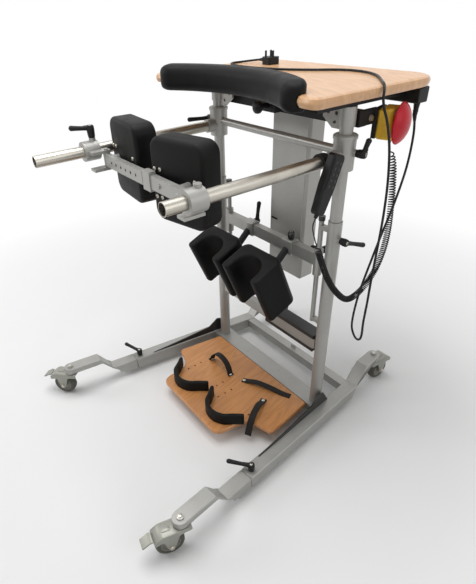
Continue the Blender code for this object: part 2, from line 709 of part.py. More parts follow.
def make_inner_tube(name, side):
    """Inner tube with its head sleeve and the drilled plate that stiffens the tray's seat."""
    location = (side * UPRIGHT_HALF_SPAN, 0.0, 0.0)
    tube = part(
        name, rod((0, 0, INNER_TUBE_BOTTOM), (0, 0, INNER_TUBE_TOP - SKIN), INNER_TUBE_OD / 2, 20),
        silver_paint(), "upper_frame", location)
    inboard = -side
    tip = [(inboard * 0.010, INNER_TUBE_TOP - 0.060), (inboard * 0.010, INNER_TUBE_TOP - 0.004),
           (inboard * 0.082, INNER_TUBE_TOP - 0.004), (inboard * 0.082, INNER_TUBE_TOP - 0.035),
           (inboard * 0.048, INNER_TUBE_TOP - 0.060)]
    fuse(tube, rod((0, 0, INNER_TUBE_TOP - 0.048), (0, 0, INNER_TUBE_TOP), 0.0215, 20),
         plate(tip, 0.006, STAND_ALONG_X), location=location)
    holes = []
    for x, drop in ((0.036, 0.022), (0.064, 0.022), (0.040, 0.044)):
        middle = Vector((inboard * x, 0, INNER_TUBE_TOP - drop))
        holes.append(rod(middle - Vector((0, 0.02, 0)), middle + Vector((0, 0.02, 0)), 0.005, 10))
    wall = 0.0025
    bore = rod((0, 0, INNER_TUBE_BOTTOM - 0.02), (0, 0, INNER_TUBE_TOP - 0.06), INNER_TUBE_OD / 2 - wall, 20)
    cut(tube, bore, *holes, location=location)


def make_upper_frame():
    """What rides on the inner tubes: the head beam, the lift column and the stop control."""
    body("upper_frame", (0, 0, INNER_TUBE_BOTTOM), "base")
    for word, side in SIDES:
        make_inner_tube(word + "_inner_tube", side)
    front = 0.0215 + SEAT
    beam_end = UPRIGHT_HALF_SPAN + 0.020
    beam = part(
        "head_beam", box((-beam_end, front, BEAM_BOTTOM + SKIN), (beam_end, 0.050, BEAM_TOP - SKIN)),
        black_steel(), "upper_frame")
    fuse(beam,
         box((-0.060, 0.030, BEAM_BOTTOM), (0.060, COLUMN_REAR - 0.004, BEAM_TOP)),
         box((-0.045, -0.012, BEAM_BOTTOM + 0.004), (0.018, 0.030, BEAM_TOP + 0.006)),
         box((beam_end - 0.014, 0.030, BEAM_BOTTOM + 2 * SKIN),
             (beam_end - SKIN, COLUMN_FRONT + 0.025, BEAM_TOP - 2 * SKIN)))
    fuse(beam,
         box((-0.030, -STOP_DEPTH - 0.012, -0.038), (0.030, -STOP_DEPTH - SEAT, 0.037)),
         location=STOP_CENTRE, rotation=(0, 0, STOP_TURN))
    column = part(
        "lift_column",
        box((-COLUMN_HALF_WIDTH, COLUMN_FRONT, COLUMN_BOTTOM), (COLUMN_HALF_WIDTH, COLUMN_REAR, COLUMN_TOP)),
        silver_paint(), "upper_frame")
    round_edges(column, 0.007)
    panel = COLUMN_HALF_WIDTH - 0.008
    socket_z = COLUMN_BOTTOM + 0.145
    fuse(column,
         box((-panel, COLUMN_FRONT - 0.003, COLUMN_BOTTOM + 0.012),
             (panel, COLUMN_FRONT + 0.01, COLUMN_TOP - 0.012)),
         rod((0.050, COLUMN_FRONT - 0.014, socket_z), (0.050, COLUMN_FRONT, socket_z), 0.013, 16))
    make_stop()
    knob_y = -0.012 - SEAT
    body("tray_knob", (-0.014, knob_y, BEAM_BOTTOM + 0.022), "upper_frame")
    knob = part("tray_knob", bpy.data.meshes.new("knob"), black_plastic(), "tray_knob",
                BODY_POINTS["tray_knob"], (math.pi / 2, 0.0, 0.0))
    profile = [(0.0, 0.050), (0.010, 0.0495), (0.0175, 0.045), (0.0185, 0.036), (0.015, 0.030), (0.008, 0.026),
               (0.008, 0.0), (0.0, 0.0)]
    turned(knob, profile, 14)


def make_stop():
    """Emergency stop: a yellow box and a wide red mushroom, turned outwards on the beam's bracket."""
    turn = (0.0, 0.0, STOP_TURN)
    across, half = STOP_WIDTH / 2, STOP_HEIGHT / 2
    case = part("stop_box", box((-across, -STOP_DEPTH, -half), (across, 0, half)), stop_yellow(), "upper_frame",
                STOP_CENTRE, turn)
    round_edges(case, 0.006)
    gland = Vector(STOP_GLAND)
    fuse(case, rod(gland, gland + Vector((0, 0, 0.018)), 0.0065, 12), location=STOP_CENTRE, rotation=turn)
    cut(case, rod((0, -0.016, 0), (0, 0.01, 0), 0.0165, 16), location=STOP_CENTRE, rotation=turn)
    body("stop_button", STOP_CENTRE, "upper_frame")
    button = part("stop_button", bpy.data.meshes.new("button"), stop_red(), "stop_button",
                  BODY_POINTS["stop_button"], (-math.pi / 2, 0.0, STOP_TURN))
    dome = [(0.0, 0.036), (0.016, 0.0345), (0.031, 0.0295), (0.043, 0.0225), (0.050, 0.0165), (0.053, 0.0125),
            (0.052, 0.009), (0.016, 0.008), (0.016, -0.006), (0.0, -0.006)]
    turned(button, dome, 24)


def cutout_arc(offset, start, end, steps):
    """Points of the tray's concave edge, offset along its radius, between two angles from +Y."""
    radius = (CUTOUT_HALF_WIDTH ** 2 + CUTOUT_DEPTH ** 2) / (2 * CUTOUT_DEPTH)
    centre = TRAY_FRONT + CUTOUT_DEPTH - radius
    points = []
    for step in range(steps + 1):
        angle = start + (end - start) * step / steps
        points.append(((radius + offset) * math.sin(angle), centre + (radius + offset) * math.cos(angle)))
    return points


def make_tray():
    """Beech tray with its bull-nosed edge, the foam along its cut-out and the frame below it."""
    body("tray", (0, 0, TRAY_BOTTOM), "upper_frame")
    radius = (CUTOUT_HALF_WIDTH ** 2 + CUTOUT_DEPTH ** 2) / (2 * CUTOUT_DEPTH)
    sweep = math.asin(CUTOUT_HALF_WIDTH / radius)
    corners = filleted([(TRAY_HALF_WIDTH, TRAY_FRONT, 0.024), (TRAY_HALF_WIDTH, TRAY_REAR, 0.080),
                        (-TRAY_HALF_WIDTH, TRAY_REAR, 0.080), (-TRAY_HALF_WIDTH, TRAY_FRONT, 0.024)], 5)
    outline = cutout_arc(0.0, -sweep, sweep, 14) + corners
    middle = (TRAY_TOP + TRAY_BOTTOM) / 2
    board = part("tray_top", plate(outline, TRAY_THICKNESS, None, (0, 0, middle)), beech(), "tray")
    round_edges(board, TRAY_THICKNESS * 0.4, 2, 60)
    first, last = -sweep * 0.97, sweep * 0.84
    line = cutout_arc(-0.004, first, last, 12)
    foam = plate(band(line, 0.062, 5), 0.073, None, (0, 0, middle + 0.006))
    pad = part("tray_pad", foam, black_foam(), "tray")
    round_edges(pad, 0.020, 2, 60)
    wide = sweep * 18 / 14
    slot = cutout_arc(-SEAT, -wide, wide, 18) + cutout_arc(0.10, wide, -wide, 8)
    cut(pad, plate(slot, TRAY_THICKNESS + 2 * SEAT, None, (0, 0, middle)))
    make_tray_frame()


def make_tray_frame():
    """Rails below the tray that rest on the head sleeves, and the control box at the rear."""
    top = TRAY_BOTTOM - SEAT
    foot = INNER_TUBE_TOP + SEAT
    half = UPRIGHT_HALF_SPAN
    low, high = (-half - 0.015, TRAY_REAR - 0.075, CONTROL_BOTTOM), (half + 0.062, TRAY_REAR - 0.030, top)
    frame = part("tray_frame", box(low, high), black_steel(), "tray")
    round_edges(frame, 0.003, 1)
    for side in (-1, 1):
        inner, outer = side * half - 0.015, side * half + 0.015
        fuse(frame, box((inner, TRAY_FRONT + 0.070, foot), (outer, TRAY_REAR - 0.05, top)))
    gland = Vector(GLAND)
    fuse(frame, rod(gland + Vector((0, 0, 0.020)), gland, 0.009, 12, 0.0065))


def make_handrails():
    """The collars and crossbar that slide on the inner tubes, with the two handrails."""
    body("handrails", (0, 0, HANDRAIL_Z), "upper_frame")
    bar_z = HANDRAIL_Z + 0.012
    half = UPRIGHT_HALF_SPAN
    crossbar = rod((-half, SKIN, bar_z), (half, SKIN, bar_z), 0.0125, 12)
    frame = part("handrail_frame", crossbar, silver_paint(), "handrails")
    for side in (-1, 1):
        x = side * half
        fuse(frame,
             rod((x, 0, COLLAR_BOTTOM), (x, 0, COLLAR_TOP), COLLAR_RADIUS, 20),
             rod((x, 0, COLLAR_TOP - 0.010), (x, 0, COLLAR_TOP - 0.002), COLLAR_RADIUS + 0.0025, 20),
             rod((x, 0, HANDRAIL_Z), (x, -COLLAR_RADIUS - 0.022, HANDRAIL_Z), HANDRAIL_OD / 2 + 0.005, 16))
        cut(frame,
            rod((x, 0, COLLAR_BOTTOM - 0.01), (x, 0, COLLAR_TOP + 0.01), INNER_TUBE_OD / 2 + RUN, 20),
            rod((x, -COLLAR_RADIUS + 0.002, HANDRAIL_Z), (x, -0.1, HANDRAIL_Z), HANDRAIL_OD / 2 + SEAT, 16))
    fuse(frame, rod((-half - 0.020, SKIN, bar_z), (-half - 0.035, SKIN, bar_z), 0.010, 12),
         rod((half + 0.020, 0.006, bar_z), (half + 0.034, 0.010, bar_z), 0.010, 12))
    for word, side, end in (("left", -1, LEFT_HANDRAIL_END), ("right", 1, RIGHT_HANDRAIL_END)):
        x = side * half
        rail = part(word + "_handrail", rod((x, -COLLAR_RADIUS + 0.0015, HANDRAIL_Z), (x, end, HANDRAIL_Z),
                                            HANDRAIL_OD / 2, 16), satin_steel(), "handrails")
        cut(rail, rod((x, 0, HANDRAIL_Z), (x, end - 0.02, HANDRAIL_Z), HANDRAIL_BORE / 2, 16))
    lever("left_collar_lever", "left_collar_lever", (-half - 0.035, 0, bar_z),
          (-1, 0, 0), (-0.15, -0.98, 0.05), 0.020, 0.085)
    lever("right_collar_lever", "right_collar_lever", (half + 0.034, 0.010, bar_z),
          (0.96, 0.28, 0), (0.20, 0.20, 0.96), 0.018, 0.040)
    make_handset()


def make_handset():
    """Handset that hangs by a hook on the right handrail, with a raised key panel."""
    half = HANDSET_LENGTH / 2
    turn = (HANDSET_TILT, 0.0, 0.0)
    corners = [(-0.024, 0.0, 0.05), (-0.017, -half, 0.010), (0.017, -half, 0.010), (0.024, 0.0, 0.05),
               (0.022, half, 0.008), (-0.022, half, 0.008)]
    shell = plate(filleted(corners, 3), 0.026, STAND_ALONG_Y)
    case = part("handset", shell, black_plastic(), "handrails", HANDSET_CENTRE, turn)
    round_edges(case, 0.004, 1, 60)
    fuse(case, box((0.010, -0.017, -0.012), (0.0145, 0.017, half - 0.010)),
         rod((0, 0, -half + 0.004), (0, 0, -half - 0.010), 0.007, 12, 0.005),
         location=HANDSET_CENTRE, rotation=turn)
    rail = (UPRIGHT_HALF_SPAN, HANDSET_CENTRE[1] + 0.012, HANDRAIL_Z)
    inner = HANDRAIL_OD / 2 + 0.0006
    hook = []
    for radius, way in ((inner, 1), (inner + 0.006, -1)):
        for step in range(11)[::way]:
            angle = math.radians(-10 + 200 * step / 10)
            hook.append((radius * math.cos(angle), radius * math.sin(angle)))
    fuse(case, plate(hook, 0.022, STAND_ALONG_X), location=rail)


def make_hip_support():
    """Clamps on the handrails, two arms that swing open on their pins, and a pad on each."""
    body("hip_carriage", (0, HIP_CLAMP_Y, HANDRAIL_Z), "handrails")
    half = UPRIGHT_HALF_SPAN
    ear = 0.008
    for word, side in SIDES:
        pivot = Vector((side * (half - HIP_PIVOT_INSET), HIP_ARM_Y, HIP_ARM_Z))
        x = side * half
        sleeve = rod((x, HIP_CLAMP_Y - 0.024, HANDRAIL_Z), (x, HIP_CLAMP_Y + 0.024, HANDRAIL_Z), 0.029, 16)
        clamp = part(word + "_hip_clamp", sleeve, silver_paint(), "hip_carriage")
        near = side * (half - 0.020)
        far = pivot.x - side * 0.008
        screw = Vector((x, HIP_CLAMP_Y + 0.012, HANDRAIL_Z + 0.036))
        pieces = [rod(screw - Vector((0, 0, 0.016)), screw, 0.010, 12)]
        first, last = sorted((near, far))
        for low in (HIP_ARM_Z + 0.021, HIP_ARM_Z - 0.021 - ear):
            pieces.append(box((first, HIP_CLAMP_Y - 0.016, low), (last, HIP_ARM_Y + 0.011, low + ear)))
        pieces.append(rod(pivot - Vector((0, 0, 0.030)), pivot + Vector((0, 0, 0.033)), 0.006, 12))
        fuse(clamp, *pieces)
        cut(clamp, rod((x, -1, HANDRAIL_Z), (x, 0, HANDRAIL_Z), HANDRAIL_OD / 2 + RUN, 16))
        body(word + "_hip_arm", pivot, "hip_carriage")
        make_hip_arm(word, side, pivot)
    lever("hip_lever", "hip_lever", (-half, HIP_CLAMP_Y + 0.012, HANDRAIL_Z + 0.036),
          (0, 0, 1), (-0.25, -0.90, 0.10), 0.026, 0.060)


def make_hip_arm(word, side, pivot):
    """A swinging arm: perforated channel on the left, plain with the latch block on the right."""
    reach = 0.004 if side < 0 else 0.034
    low, high = sorted((pivot.x, side * reach))
    eye = rod(pivot - Vector((0, 0, 0.0205)), pivot + Vector((0, 0, 0.0205)), 0.0105, 16)
    arm = part(word + "_hip_arm", eye, silver_paint(), word + "_hip_arm")
    back, front = HIP_ARM_Y - 0.009, HIP_ARM_Y + 0.009
    fuse(arm, box((low, back, HIP_ARM_Z - 0.018), (high, front, HIP_ARM_Z + 0.018)))
    centre, turn = make_hip_pad(word)
    foot = Vector((side * 0.045, -HIP_PAD_SIZE[1] / 2 - SEAT, 0))
    lug = Vector((side * 0.045, -HIP_PAD_FORWARD[word] - 0.002, 0))
    for point in (foot, lug):
        point.rotate(Matrix.Rotation(turn, 3, "Z"))
    fuse(arm, rod(centre + lug, centre + foot, 0.011, 16))
    if side < 0:
        for step in range(6):
            x = low + 0.045 + step * 0.030
            cut(arm, rod((x, back - 0.01, HIP_ARM_Z), (x, front + 0.004, HIP_ARM_Z), 0.0045, 10))
    else:
        fuse(arm, box((0.0045, back - 0.003, HIP_ARM_Z - 0.026), (0.042, front - 0.0005, HIP_ARM_Z + 0.026)))
        fuse(arm, rod((0.085, back - 0.004, HIP_ARM_Z), (0.085, HIP_ARM_Y, HIP_ARM_Z), 0.007, 6))
    cut(arm, rod(pivot - Vector((0, 0, 0.04)), pivot + Vector((0, 0, 0.04)), 0.0065, 12))


def make_hip_pad(word):
    """A firm rounded pad, yawed so that its outer edge lies nearer to the column."""
    centre = Vector((HIP_PAD_X[word], HIP_ARM_Y + HIP_PAD_FORWARD[word], HIP_ARM_Z + 0.007))
    turn = HIP_PAD_YAW[word]
    pad = cushion(HIP_PAD_SIZE, 5, 6)
    part(word + "_hip_pad", pad, black_foam(), word + "_hip_arm", centre, (0, 0, turn))
    return centre, turn


def make_knee_support():
    """Knee bar that slides on the guide rods, with two cupped pads clamped along it."""
    body("knee_bar", (0, 0, KNEE_BAR_Z), "base")
    reach = UPRIGHT_HALF_SPAN - GUIDE_ROD_INSET
    deep, tall = KNEE_BAR_DEPTH / 2, KNEE_BAR_HEIGHT / 2
    bar = part("knee_bar", box((-reach, -deep, KNEE_BAR_Z - tall), (reach, deep, KNEE_BAR_Z + tall)),
               silver_paint(), "knee_bar")
    for side in (-1, 1):
        x = side * reach
        fuse(bar, rod((x, 0, KNEE_BAR_Z - 0.055), (x, 0, KNEE_BAR_Z + 0.035), GUIDE_ROD_RADIUS + 0.0065, 16))
        cut(bar, rod((x, 0, KNEE_BAR_Z - 0.1), (x, 0, KNEE_BAR_Z + 0.1), GUIDE_ROD_RADIUS + RUN, 16))
    lever("knee_height_lever", "knee_height_lever", (reach, GUIDE_ROD_RADIUS + 0.0063, KNEE_BAR_Z + 0.024),
          (0, 1, 0), (-0.95, 0.1, -0.30), 0.018, 0.070)
    for word, side in SIDES:
        make_knee_pad(word, side)
    top = KNEE_BAR_Z + tall + 0.0055
    lever("left_knee_lever", "left_knee_lever", (-KNEE_PAD_X - 0.012, deep + 0.0055, KNEE_BAR_Z + 0.010),
          (0, 1, 0), (0.05, 0.1, 1), 0.018, 0.072)
    lever("right_knee_lever", "right_knee_lever", (KNEE_PAD_X + 0.004, 0, top),
          (0, 0, 1), (0.70, -0.64, 0.30), 0.016, 0.060)


def make_knee_pad(word, side):
    """A deep U-shaped knee cup, tilted towards the person, on a saddle that grips the bar."""
    x = side * KNEE_PAD_X
    width, depth, height = KNEE_PAD_SIZE
    tilt = (KNEE_PAD_TILT, 0.0, 0.0)
    centre = (x, -0.133, KNEE_BAR_Z - 0.092)
    body(word + "_knee", (x, 0, KNEE_BAR_Z), "knee_bar")
    mouth, deepest = width * 0.31, depth / 2 - 0.036
    recess = [(mouth * math.cos(angle), deepest - mouth + mouth * math.sin(angle))
              for angle in (math.pi * step / 8 for step in range(9))]
    side_x, back_y = width / 2, depth / 2
    wall = filleted([(-side_x, -back_y, 0.010), (-side_x, back_y, 0.028), (side_x, back_y, 0.028),
                     (side_x, -back_y, 0.010)], 3)
    outline = wall + [(mouth, -depth / 2)] + recess + [(-mouth, -depth / 2)]
    pad = part(word + "_knee_pad", plate(outline, height), black_foam(), word + "_knee", centre, tilt)
    round_edges(pad, 0.007, 1, 60)
    back = Vector((0, depth / 2 - 0.006, 0))
    back.rotate(Matrix.Rotation(KNEE_PAD_TILT, 3, "X"))
    deep, tall = KNEE_BAR_DEPTH / 2 + 0.005, KNEE_BAR_HEIGHT / 2 + 0.005
    saddle = box((x - 0.024, -deep, KNEE_BAR_Z - tall), (x + 0.024, deep, KNEE_BAR_Z + tall))
    stem = rod((x, -deep + 0.003, KNEE_BAR_Z - 0.008), Vector(centre) + back, 0.012, 14)
    fuse(pad, stem, saddle)
    gap_y, gap_z = KNEE_BAR_DEPTH / 2 + RUN, KNEE_BAR_HEIGHT / 2 + RUN
    cut(pad, box((x - 0.1, -gap_y, KNEE_BAR_Z - gap_z), (x + 0.1, gap_y, KNEE_BAR_Z + gap_z)))


def coil_route():
    """The curly cord's own centre line, from the handset down, round and up to the stop box."""
    foot = Vector((0, 0, -HANDSET_LENGTH / 2 - 0.010))
    foot.rotate(Matrix.Rotation(HANDSET_TILT, 3, "X"))
    start = foot + Vector(HANDSET_CENTRE)
    down = foot.normalized()
    end = Vector(STOP_GLAND) - Vector((0, 0, SEAT))
    end.rotate(Matrix.Rotation(STOP_TURN, 3, "Z"))
    end += Vector(STOP_CENTRE)
    hanging = [(0.018, -0.150, 0.235), (0.029, -0.138, 0.285), (0.040, -0.100, 0.380), (0.046, -0.055, 0.445),
               (0.050, -0.008, 0.482), (0.052, 0.040, 0.470), (0.052, 0.078, 0.425), (0.052, 0.103, 0.365),
               (0.048, 0.118, 0.300), (0.040, 0.128, 0.230), (0.028, 0.136, 0.170), (0.014, 0.141, 0.115)]
    route = [start + down * SEAT, start + down * 0.020]
    route += [Vector((HANDSET_CENTRE[0] + out, y, STOP_CENTRE[2] - drop)) for out, y, drop in hanging]
    return route + [end - Vector((0, 0, 0.016)), end]


def make_coil_cord():
    """A handset cord: straight at both ends and curled between them, one unbroken tube."""
    line, length = even_line(smooth_line(coil_route(), 8), CURLS * CURL_POINTS + 1)
    lead, tail = 0.075 / length, 0.012 / length
    points = [line[0]]
    across = Vector((1, 0, 0))
    for index in range(1, len(line) - 1):
        share = index / (len(line) - 1)
        along = (line[index + 1] - line[index - 1]).normalized()
        across = (across - along * across.dot(along)).normalized()
        swell = min(max((share - lead) * 60, 0.0), max((1 - tail - share) * 60, 0.0), 1.0)
        angle = 2 * math.pi * index / CURL_POINTS
        spoke = across * math.cos(angle) + along.cross(across) * math.sin(angle)
        if swell > 0 or index % CURL_POINTS == 0:
            points.append(line[index] + spoke * CURL_RADIUS * swell)
    points.append(line[-1])
    gaps = []
    for near in range(len(points)):
        for far in range(near + CURL_POINTS - 2, min(near + 60, len(points))):
            gaps.append((points[far] - points[near]).length - 2 * CURL_WIRE)
    print("least gap of the curls to each other, mm:", round(1000 * min(gaps), 2))
    part("coil_cord", pipe(points, CURL_WIRE, 1), cord_black(), "upper_frame")


def beside_tray(out, y, drop):
    """A point beside the tray's right edge, so far out from it and below the tray's top."""
    return Vector((TRAY_HALF_WIDTH + out, y, TRAY_TOP - drop))


def mains_route():
    """The mains lead: from its gland down in a loop, up over the tray's edge and across its top."""
    gland = Vector(GLAND) - Vector((0, 0, SEAT))
    falling = [(-0.018, 0.218, 0.150), (0.000, 0.186, 0.228), (0.020, 0.128, 0.312), (0.034, 0.070, 0.393),
               (0.0425, 0.026, 0.470), (0.0440, 0.000, 0.540), (0.0435, -0.0105, 0.600)]
    rising = [(0.1035, -0.0445, 0.600), (0.1025, -0.041, 0.540), (0.094, -0.026, 0.462),
              (0.080, 0.006, 0.378), (0.066, 0.029, 0.298), (0.055, 0.038, 0.218), (0.048, 0.037, 0.138),
              (0.043, 0.034, 0.078), (0.036, 0.033, 0.032), (0.018, 0.036, -0.003), (-0.012, 0.045, -0.012),
              (-0.048, 0.066, -0.0065)]
    lying = [(0.262, 0.106), (0.215, 0.142), (0.160, 0.156), (0.095, 0.141), (0.020, 0.094), (-0.080, 0.060),
             (-0.190, 0.050), (-0.272, 0.060), (-0.312, 0.088), (-0.313, 0.125)]
    lie = TRAY_TOP + MAINS_RADIUS + SEAT
    plug = Vector(PLUG_END)
    route = [gland, gland - Vector((0, 0, 0.012))]
    route += [beside_tray(*point) for point in falling]
    for step in range(5):
        angle = math.pi * step / 4
        route.append(beside_tray(0.0735 - 0.030 * math.cos(angle), -0.0275 + 0.0145 * math.cos(angle),
                                 0.650 + 0.0333 * math.sin(angle)))
    route += [beside_tray(*point) for point in rising]
    route += [Vector((x, y, lie)) for x, y in lying]
    route += [Vector((-0.288, 0.151, lie + 0.003)), Vector((-0.262, 0.1595, lie + 0.006))]
    return route + [plug - Vector((0.018, 0, 0)), plug]


def make_mains_lead():
    """The mains lead and its three-pin plug, which lies on the tray with its pins upwards."""
    route = mains_route()
    points = [Vector(route[0])] + smooth_line(route[1:-1], 2) + [Vector(route[-1])]
    length = sum((second - first).length for first, second in zip(points, points[1:]))
    print("mains lead length, m:", round(length, 3))
    part("mains_cord", pipe(points, MAINS_RADIUS, 2), cord_black(), "tray")
    x, y, z = PLUG_END
    low = TRAY_TOP + SEAT
    body_x = x + SEAT
    half = [(body_x, 0.010, 0.004), (body_x + 0.012, 0.023, 0.006), (body_x + 0.048, 0.023, 0.008)]
    corners = [(px, y - wide, radius) for px, wide, radius in half]
    corners += [(px, y + wide, radius) for px, wide, radius in reversed(half)]
    outline = filleted(corners, 3)
    plug = part("mains_plug", plate(outline, 0.022, None, (0, 0, low + 0.011)), black_plastic(), "tray")
    earth = (body_x + 0.038, y)
    for px, py, long, wide in ((*earth, 0.004, 0.008), (body_x + 0.016, y - 0.011, 0.004, 0.006),
                               (body_x + 0.016, y + 0.011, 0.004, 0.006)):
        pin = box((px - long / 2, py - wide / 2, low + 0.018), (px + long / 2, py + wide / 2, low + 0.040))
        fuse(plug, pin)


def settle_origin():
    """Moves everything so that the middle of the object's foot is at the origin, cords left out."""
    bpy.context.view_layer.update()
    graph = bpy.context.evaluated_depsgraph_get()
    low, high = Vector((9, 9, 9)), Vector((-9, -9, -9))
    for thing in PARTS.objects:
        if thing.type != "MESH" or thing.name in ("coil_cord", "mains_cord", "mains_plug"):
            continue
        solid = thing.evaluated_get(graph)
        for corner in solid.bound_box:
            point = solid.matrix_world @ Vector(corner)
            low = Vector(map(min, low, point))
            high = Vector(map(max, high, point))
    BODIES["base"].location = (-(low.x + high.x) / 2, -(low.y + high.y) / 2, -low.z)
    bpy.context.view_layer.update()
    for name, empty in BODIES.items():
        print("pivot", name, [round(value, 5) for value in empty.matrix_world.translation])
    print("size", [round(value, 4) for value in high - low])


make_base()
make_upper_frame()
make_tray()
make_handrails()
make_hip_support()
make_knee_support()
lever("upright_lever", "upright_lever", (UPRIGHT_HALF_SPAN + UPRIGHT_OD / 2 + 0.006, 0, UPRIGHT_LEVER_Z),
      (1, 0, 0), (0.02, 0.92, -0.36), 0.016, 0.095)
make_coil_cord()
make_mains_lead()
settle_origin()
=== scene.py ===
# %% [markdown]
# # A patient standing aid
# The frame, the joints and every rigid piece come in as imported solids, in metres.
# They stay where they are: this lesson gives them their finishes and their fine edges.
# It also makes the soft and the wound pieces anew, because solids alone can't show them.

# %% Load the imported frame
import json
import math
import bmesh
import bpy
from mathutils import Matrix, Vector


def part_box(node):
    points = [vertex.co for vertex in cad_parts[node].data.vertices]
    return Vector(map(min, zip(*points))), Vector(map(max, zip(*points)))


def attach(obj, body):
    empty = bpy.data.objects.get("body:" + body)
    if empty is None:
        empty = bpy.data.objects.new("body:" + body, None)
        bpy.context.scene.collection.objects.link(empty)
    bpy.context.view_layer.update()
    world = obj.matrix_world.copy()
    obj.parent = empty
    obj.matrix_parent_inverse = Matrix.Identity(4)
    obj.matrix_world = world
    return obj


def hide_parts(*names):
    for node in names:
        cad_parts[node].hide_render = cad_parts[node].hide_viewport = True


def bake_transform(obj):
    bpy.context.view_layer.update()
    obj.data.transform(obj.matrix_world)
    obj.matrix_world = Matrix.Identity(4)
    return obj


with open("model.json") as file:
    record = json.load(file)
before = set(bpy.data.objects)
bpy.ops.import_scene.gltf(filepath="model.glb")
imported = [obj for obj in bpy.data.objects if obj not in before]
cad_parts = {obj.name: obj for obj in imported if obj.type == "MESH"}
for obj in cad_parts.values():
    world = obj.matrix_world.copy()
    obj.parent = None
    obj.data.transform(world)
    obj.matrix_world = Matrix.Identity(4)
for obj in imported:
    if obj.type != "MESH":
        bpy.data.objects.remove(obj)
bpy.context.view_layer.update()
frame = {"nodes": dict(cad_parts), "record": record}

# %% [markdown]
# The pieces were drawn in a frame whose origin is on the floor, midway between the two uprights.
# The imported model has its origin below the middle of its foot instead.
# Reading the handrails and an upright gives the shift between the two, so every number below
# can be the one from the drawing.

# %% The drawing's origin
def middle(node):
    low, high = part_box(node)
    return (Vector(low) + Vector(high)) / 2


UP = Vector((0.0, 0.0, 1.0))
SHIFT = Vector(((middle("left_handrail").x + middle("right_handrail").x) / 2, middle("left_upright").y, 0.0))


def at(x, y, z):
    return Vector((x, y, z)) + SHIFT


def placed(name, data):
    thing = bpy.data.objects.new(name, data)
    bpy.context.scene.collection.objects.link(thing)
    return thing


print("drawing's origin lies at", [round(value, 4) for value in SHIFT])

# %% [markdown]
# The camera stands where the photographer stood: high, close, and looking down at about 35 degrees.
# The lens is wide, and a small shift sets the frame, because the picture was cropped.

# %% Camera
def look_down(azimuth, pitch, roll):
    level = Vector((-math.sin(azimuth), math.cos(azimuth), 0.0))
    ahead = level * math.cos(pitch) - UP * math.sin(pitch)
    right = Vector((math.cos(azimuth), math.sin(azimuth), 0.0))
    up = right.cross(ahead)
    across = math.cos(roll) * right + math.sin(roll) * up
    upward = math.cos(roll) * up - math.sin(roll) * right
    return Matrix((across, upward, -ahead)).transposed().to_4x4()


CAMERA_PLACE = (1.104, -1.0107, 1.3379)
CAMERA_ANGLES = [math.radians(value) for value in (55.83, 34.58, -2.965)]
lens = bpy.data.cameras.new("camera")
lens.lens = 28.40
lens.shift_x = 0.0444
lens.shift_y = 0.0409
camera = placed("camera", lens)
camera.matrix_world = Matrix.Translation(at(*CAMERA_PLACE)) @ look_down(*CAMERA_ANGLES)
bpy.context.scene.camera = camera
print("camera at", [round(value, 3) for value in camera.location])

# %% [markdown]
# Every finish is a small tree of nodes. Writing those trees link by link is long and hard to read,
# so one class stands for a value in the tree. Plus, minus and times make Math nodes, and one method
# makes any other node. A finish then reads like a sum.

# %% Shader values that can be added up
class Shade:
    def __init__(self, tree, socket):
        self.tree = tree
        self.socket = socket

    def node(self, kind, inputs, output=0, **settings):
        made = self.tree.nodes.new(kind)
        for name, value in settings.items():
            setattr(made, name, value)
        for name, value in inputs.items():
            if isinstance(value, Shade):
                self.tree.links.new(value.socket, made.inputs[name])
            else:
                made.inputs[name].default_value = value
        return Shade(self.tree, made.outputs[output])

    def math(self, operation, other):
        return self.node("ShaderNodeMath", {0: self, 1: other}, operation=operation)

    def __add__(self, other):
        return self.math("ADD", other)

    def __sub__(self, other):
        return self.math("SUBTRACT", other)

    def __rsub__(self, other):
        return self.node("ShaderNodeMath", {0: other, 1: self}, operation="SUBTRACT")

    def __mul__(self, other):
        return self.math("MULTIPLY", other)

    __radd__ = __add__
    __rmul__ = __mul__

    def stretched(self, x, y, z):
        return self.node("ShaderNodeMapping", {"Vector": self, "Scale": (x, y, z)})

    def noise(self, scale, detail=3.0, distortion=0.0):
        settings = {"Vector": self, "Scale": scale, "Detail": detail, "Distortion": distortion}
        return self.node("ShaderNodeTexNoise", settings)

    def within(self, low, high, first=0.0, last=1.0):
        settings = {"Value": self, "From Min": low, "From Max": high, "To Min": first, "To Max": last}
        return self.node("ShaderNodeMapRange", settings)

    def colours(self, first, last):
        return self.over((*first, 1.0), last)

    def over(self, below, above):
        settings = {"Factor": self, 6: below, 7: (*above, 1.0)}
        return self.node("ShaderNodeMix", settings, 2, data_type="RGBA")

    def inside(self, low, high):
        mask = None
        for index in range(3):
            along = self.node("ShaderNodeSeparateXYZ", {0: self}, index)
            part = along.math("GREATER_THAN", low[index]) * along.math("LESS_THAN", high[index])
            mask = mask * part if mask else part
        return mask

    def bumps(self, strength, distance):
        settings = {"Strength": strength, "Distance": distance, "Height": self}
        return self.node("ShaderNodeBump", settings)


print("shader values ready")

# %% [markdown]
# A finish starts from a Principled shader and from the piece's own coordinates in metres.
# A number that is the same all over is set on the shader, and only what varies is linked.

# %% A finish and its links
def socket_name(key):
    return key.replace("_", " ").title().replace("Ior", "IOR")


def new_finish(name, **numbers):
    made = bpy.data.materials.new(name)
    made.use_nodes = True
    tree = made.node_tree
    shader = tree.nodes["Principled BSDF"]
    for key, value in numbers.items():
        shader.inputs[socket_name(key)].default_value = value
    place = Shade(tree, tree.nodes.new("ShaderNodeTexCoord").outputs["Object"])
    return made, place


def link(finish, **values):
    tree = finish.node_tree
    shader = tree.nodes["Principled BSDF"]
    for key, value in values.items():
        tree.links.new(value.socket, shader.inputs[socket_name(key)])
    return finish


print("finish helpers ready")

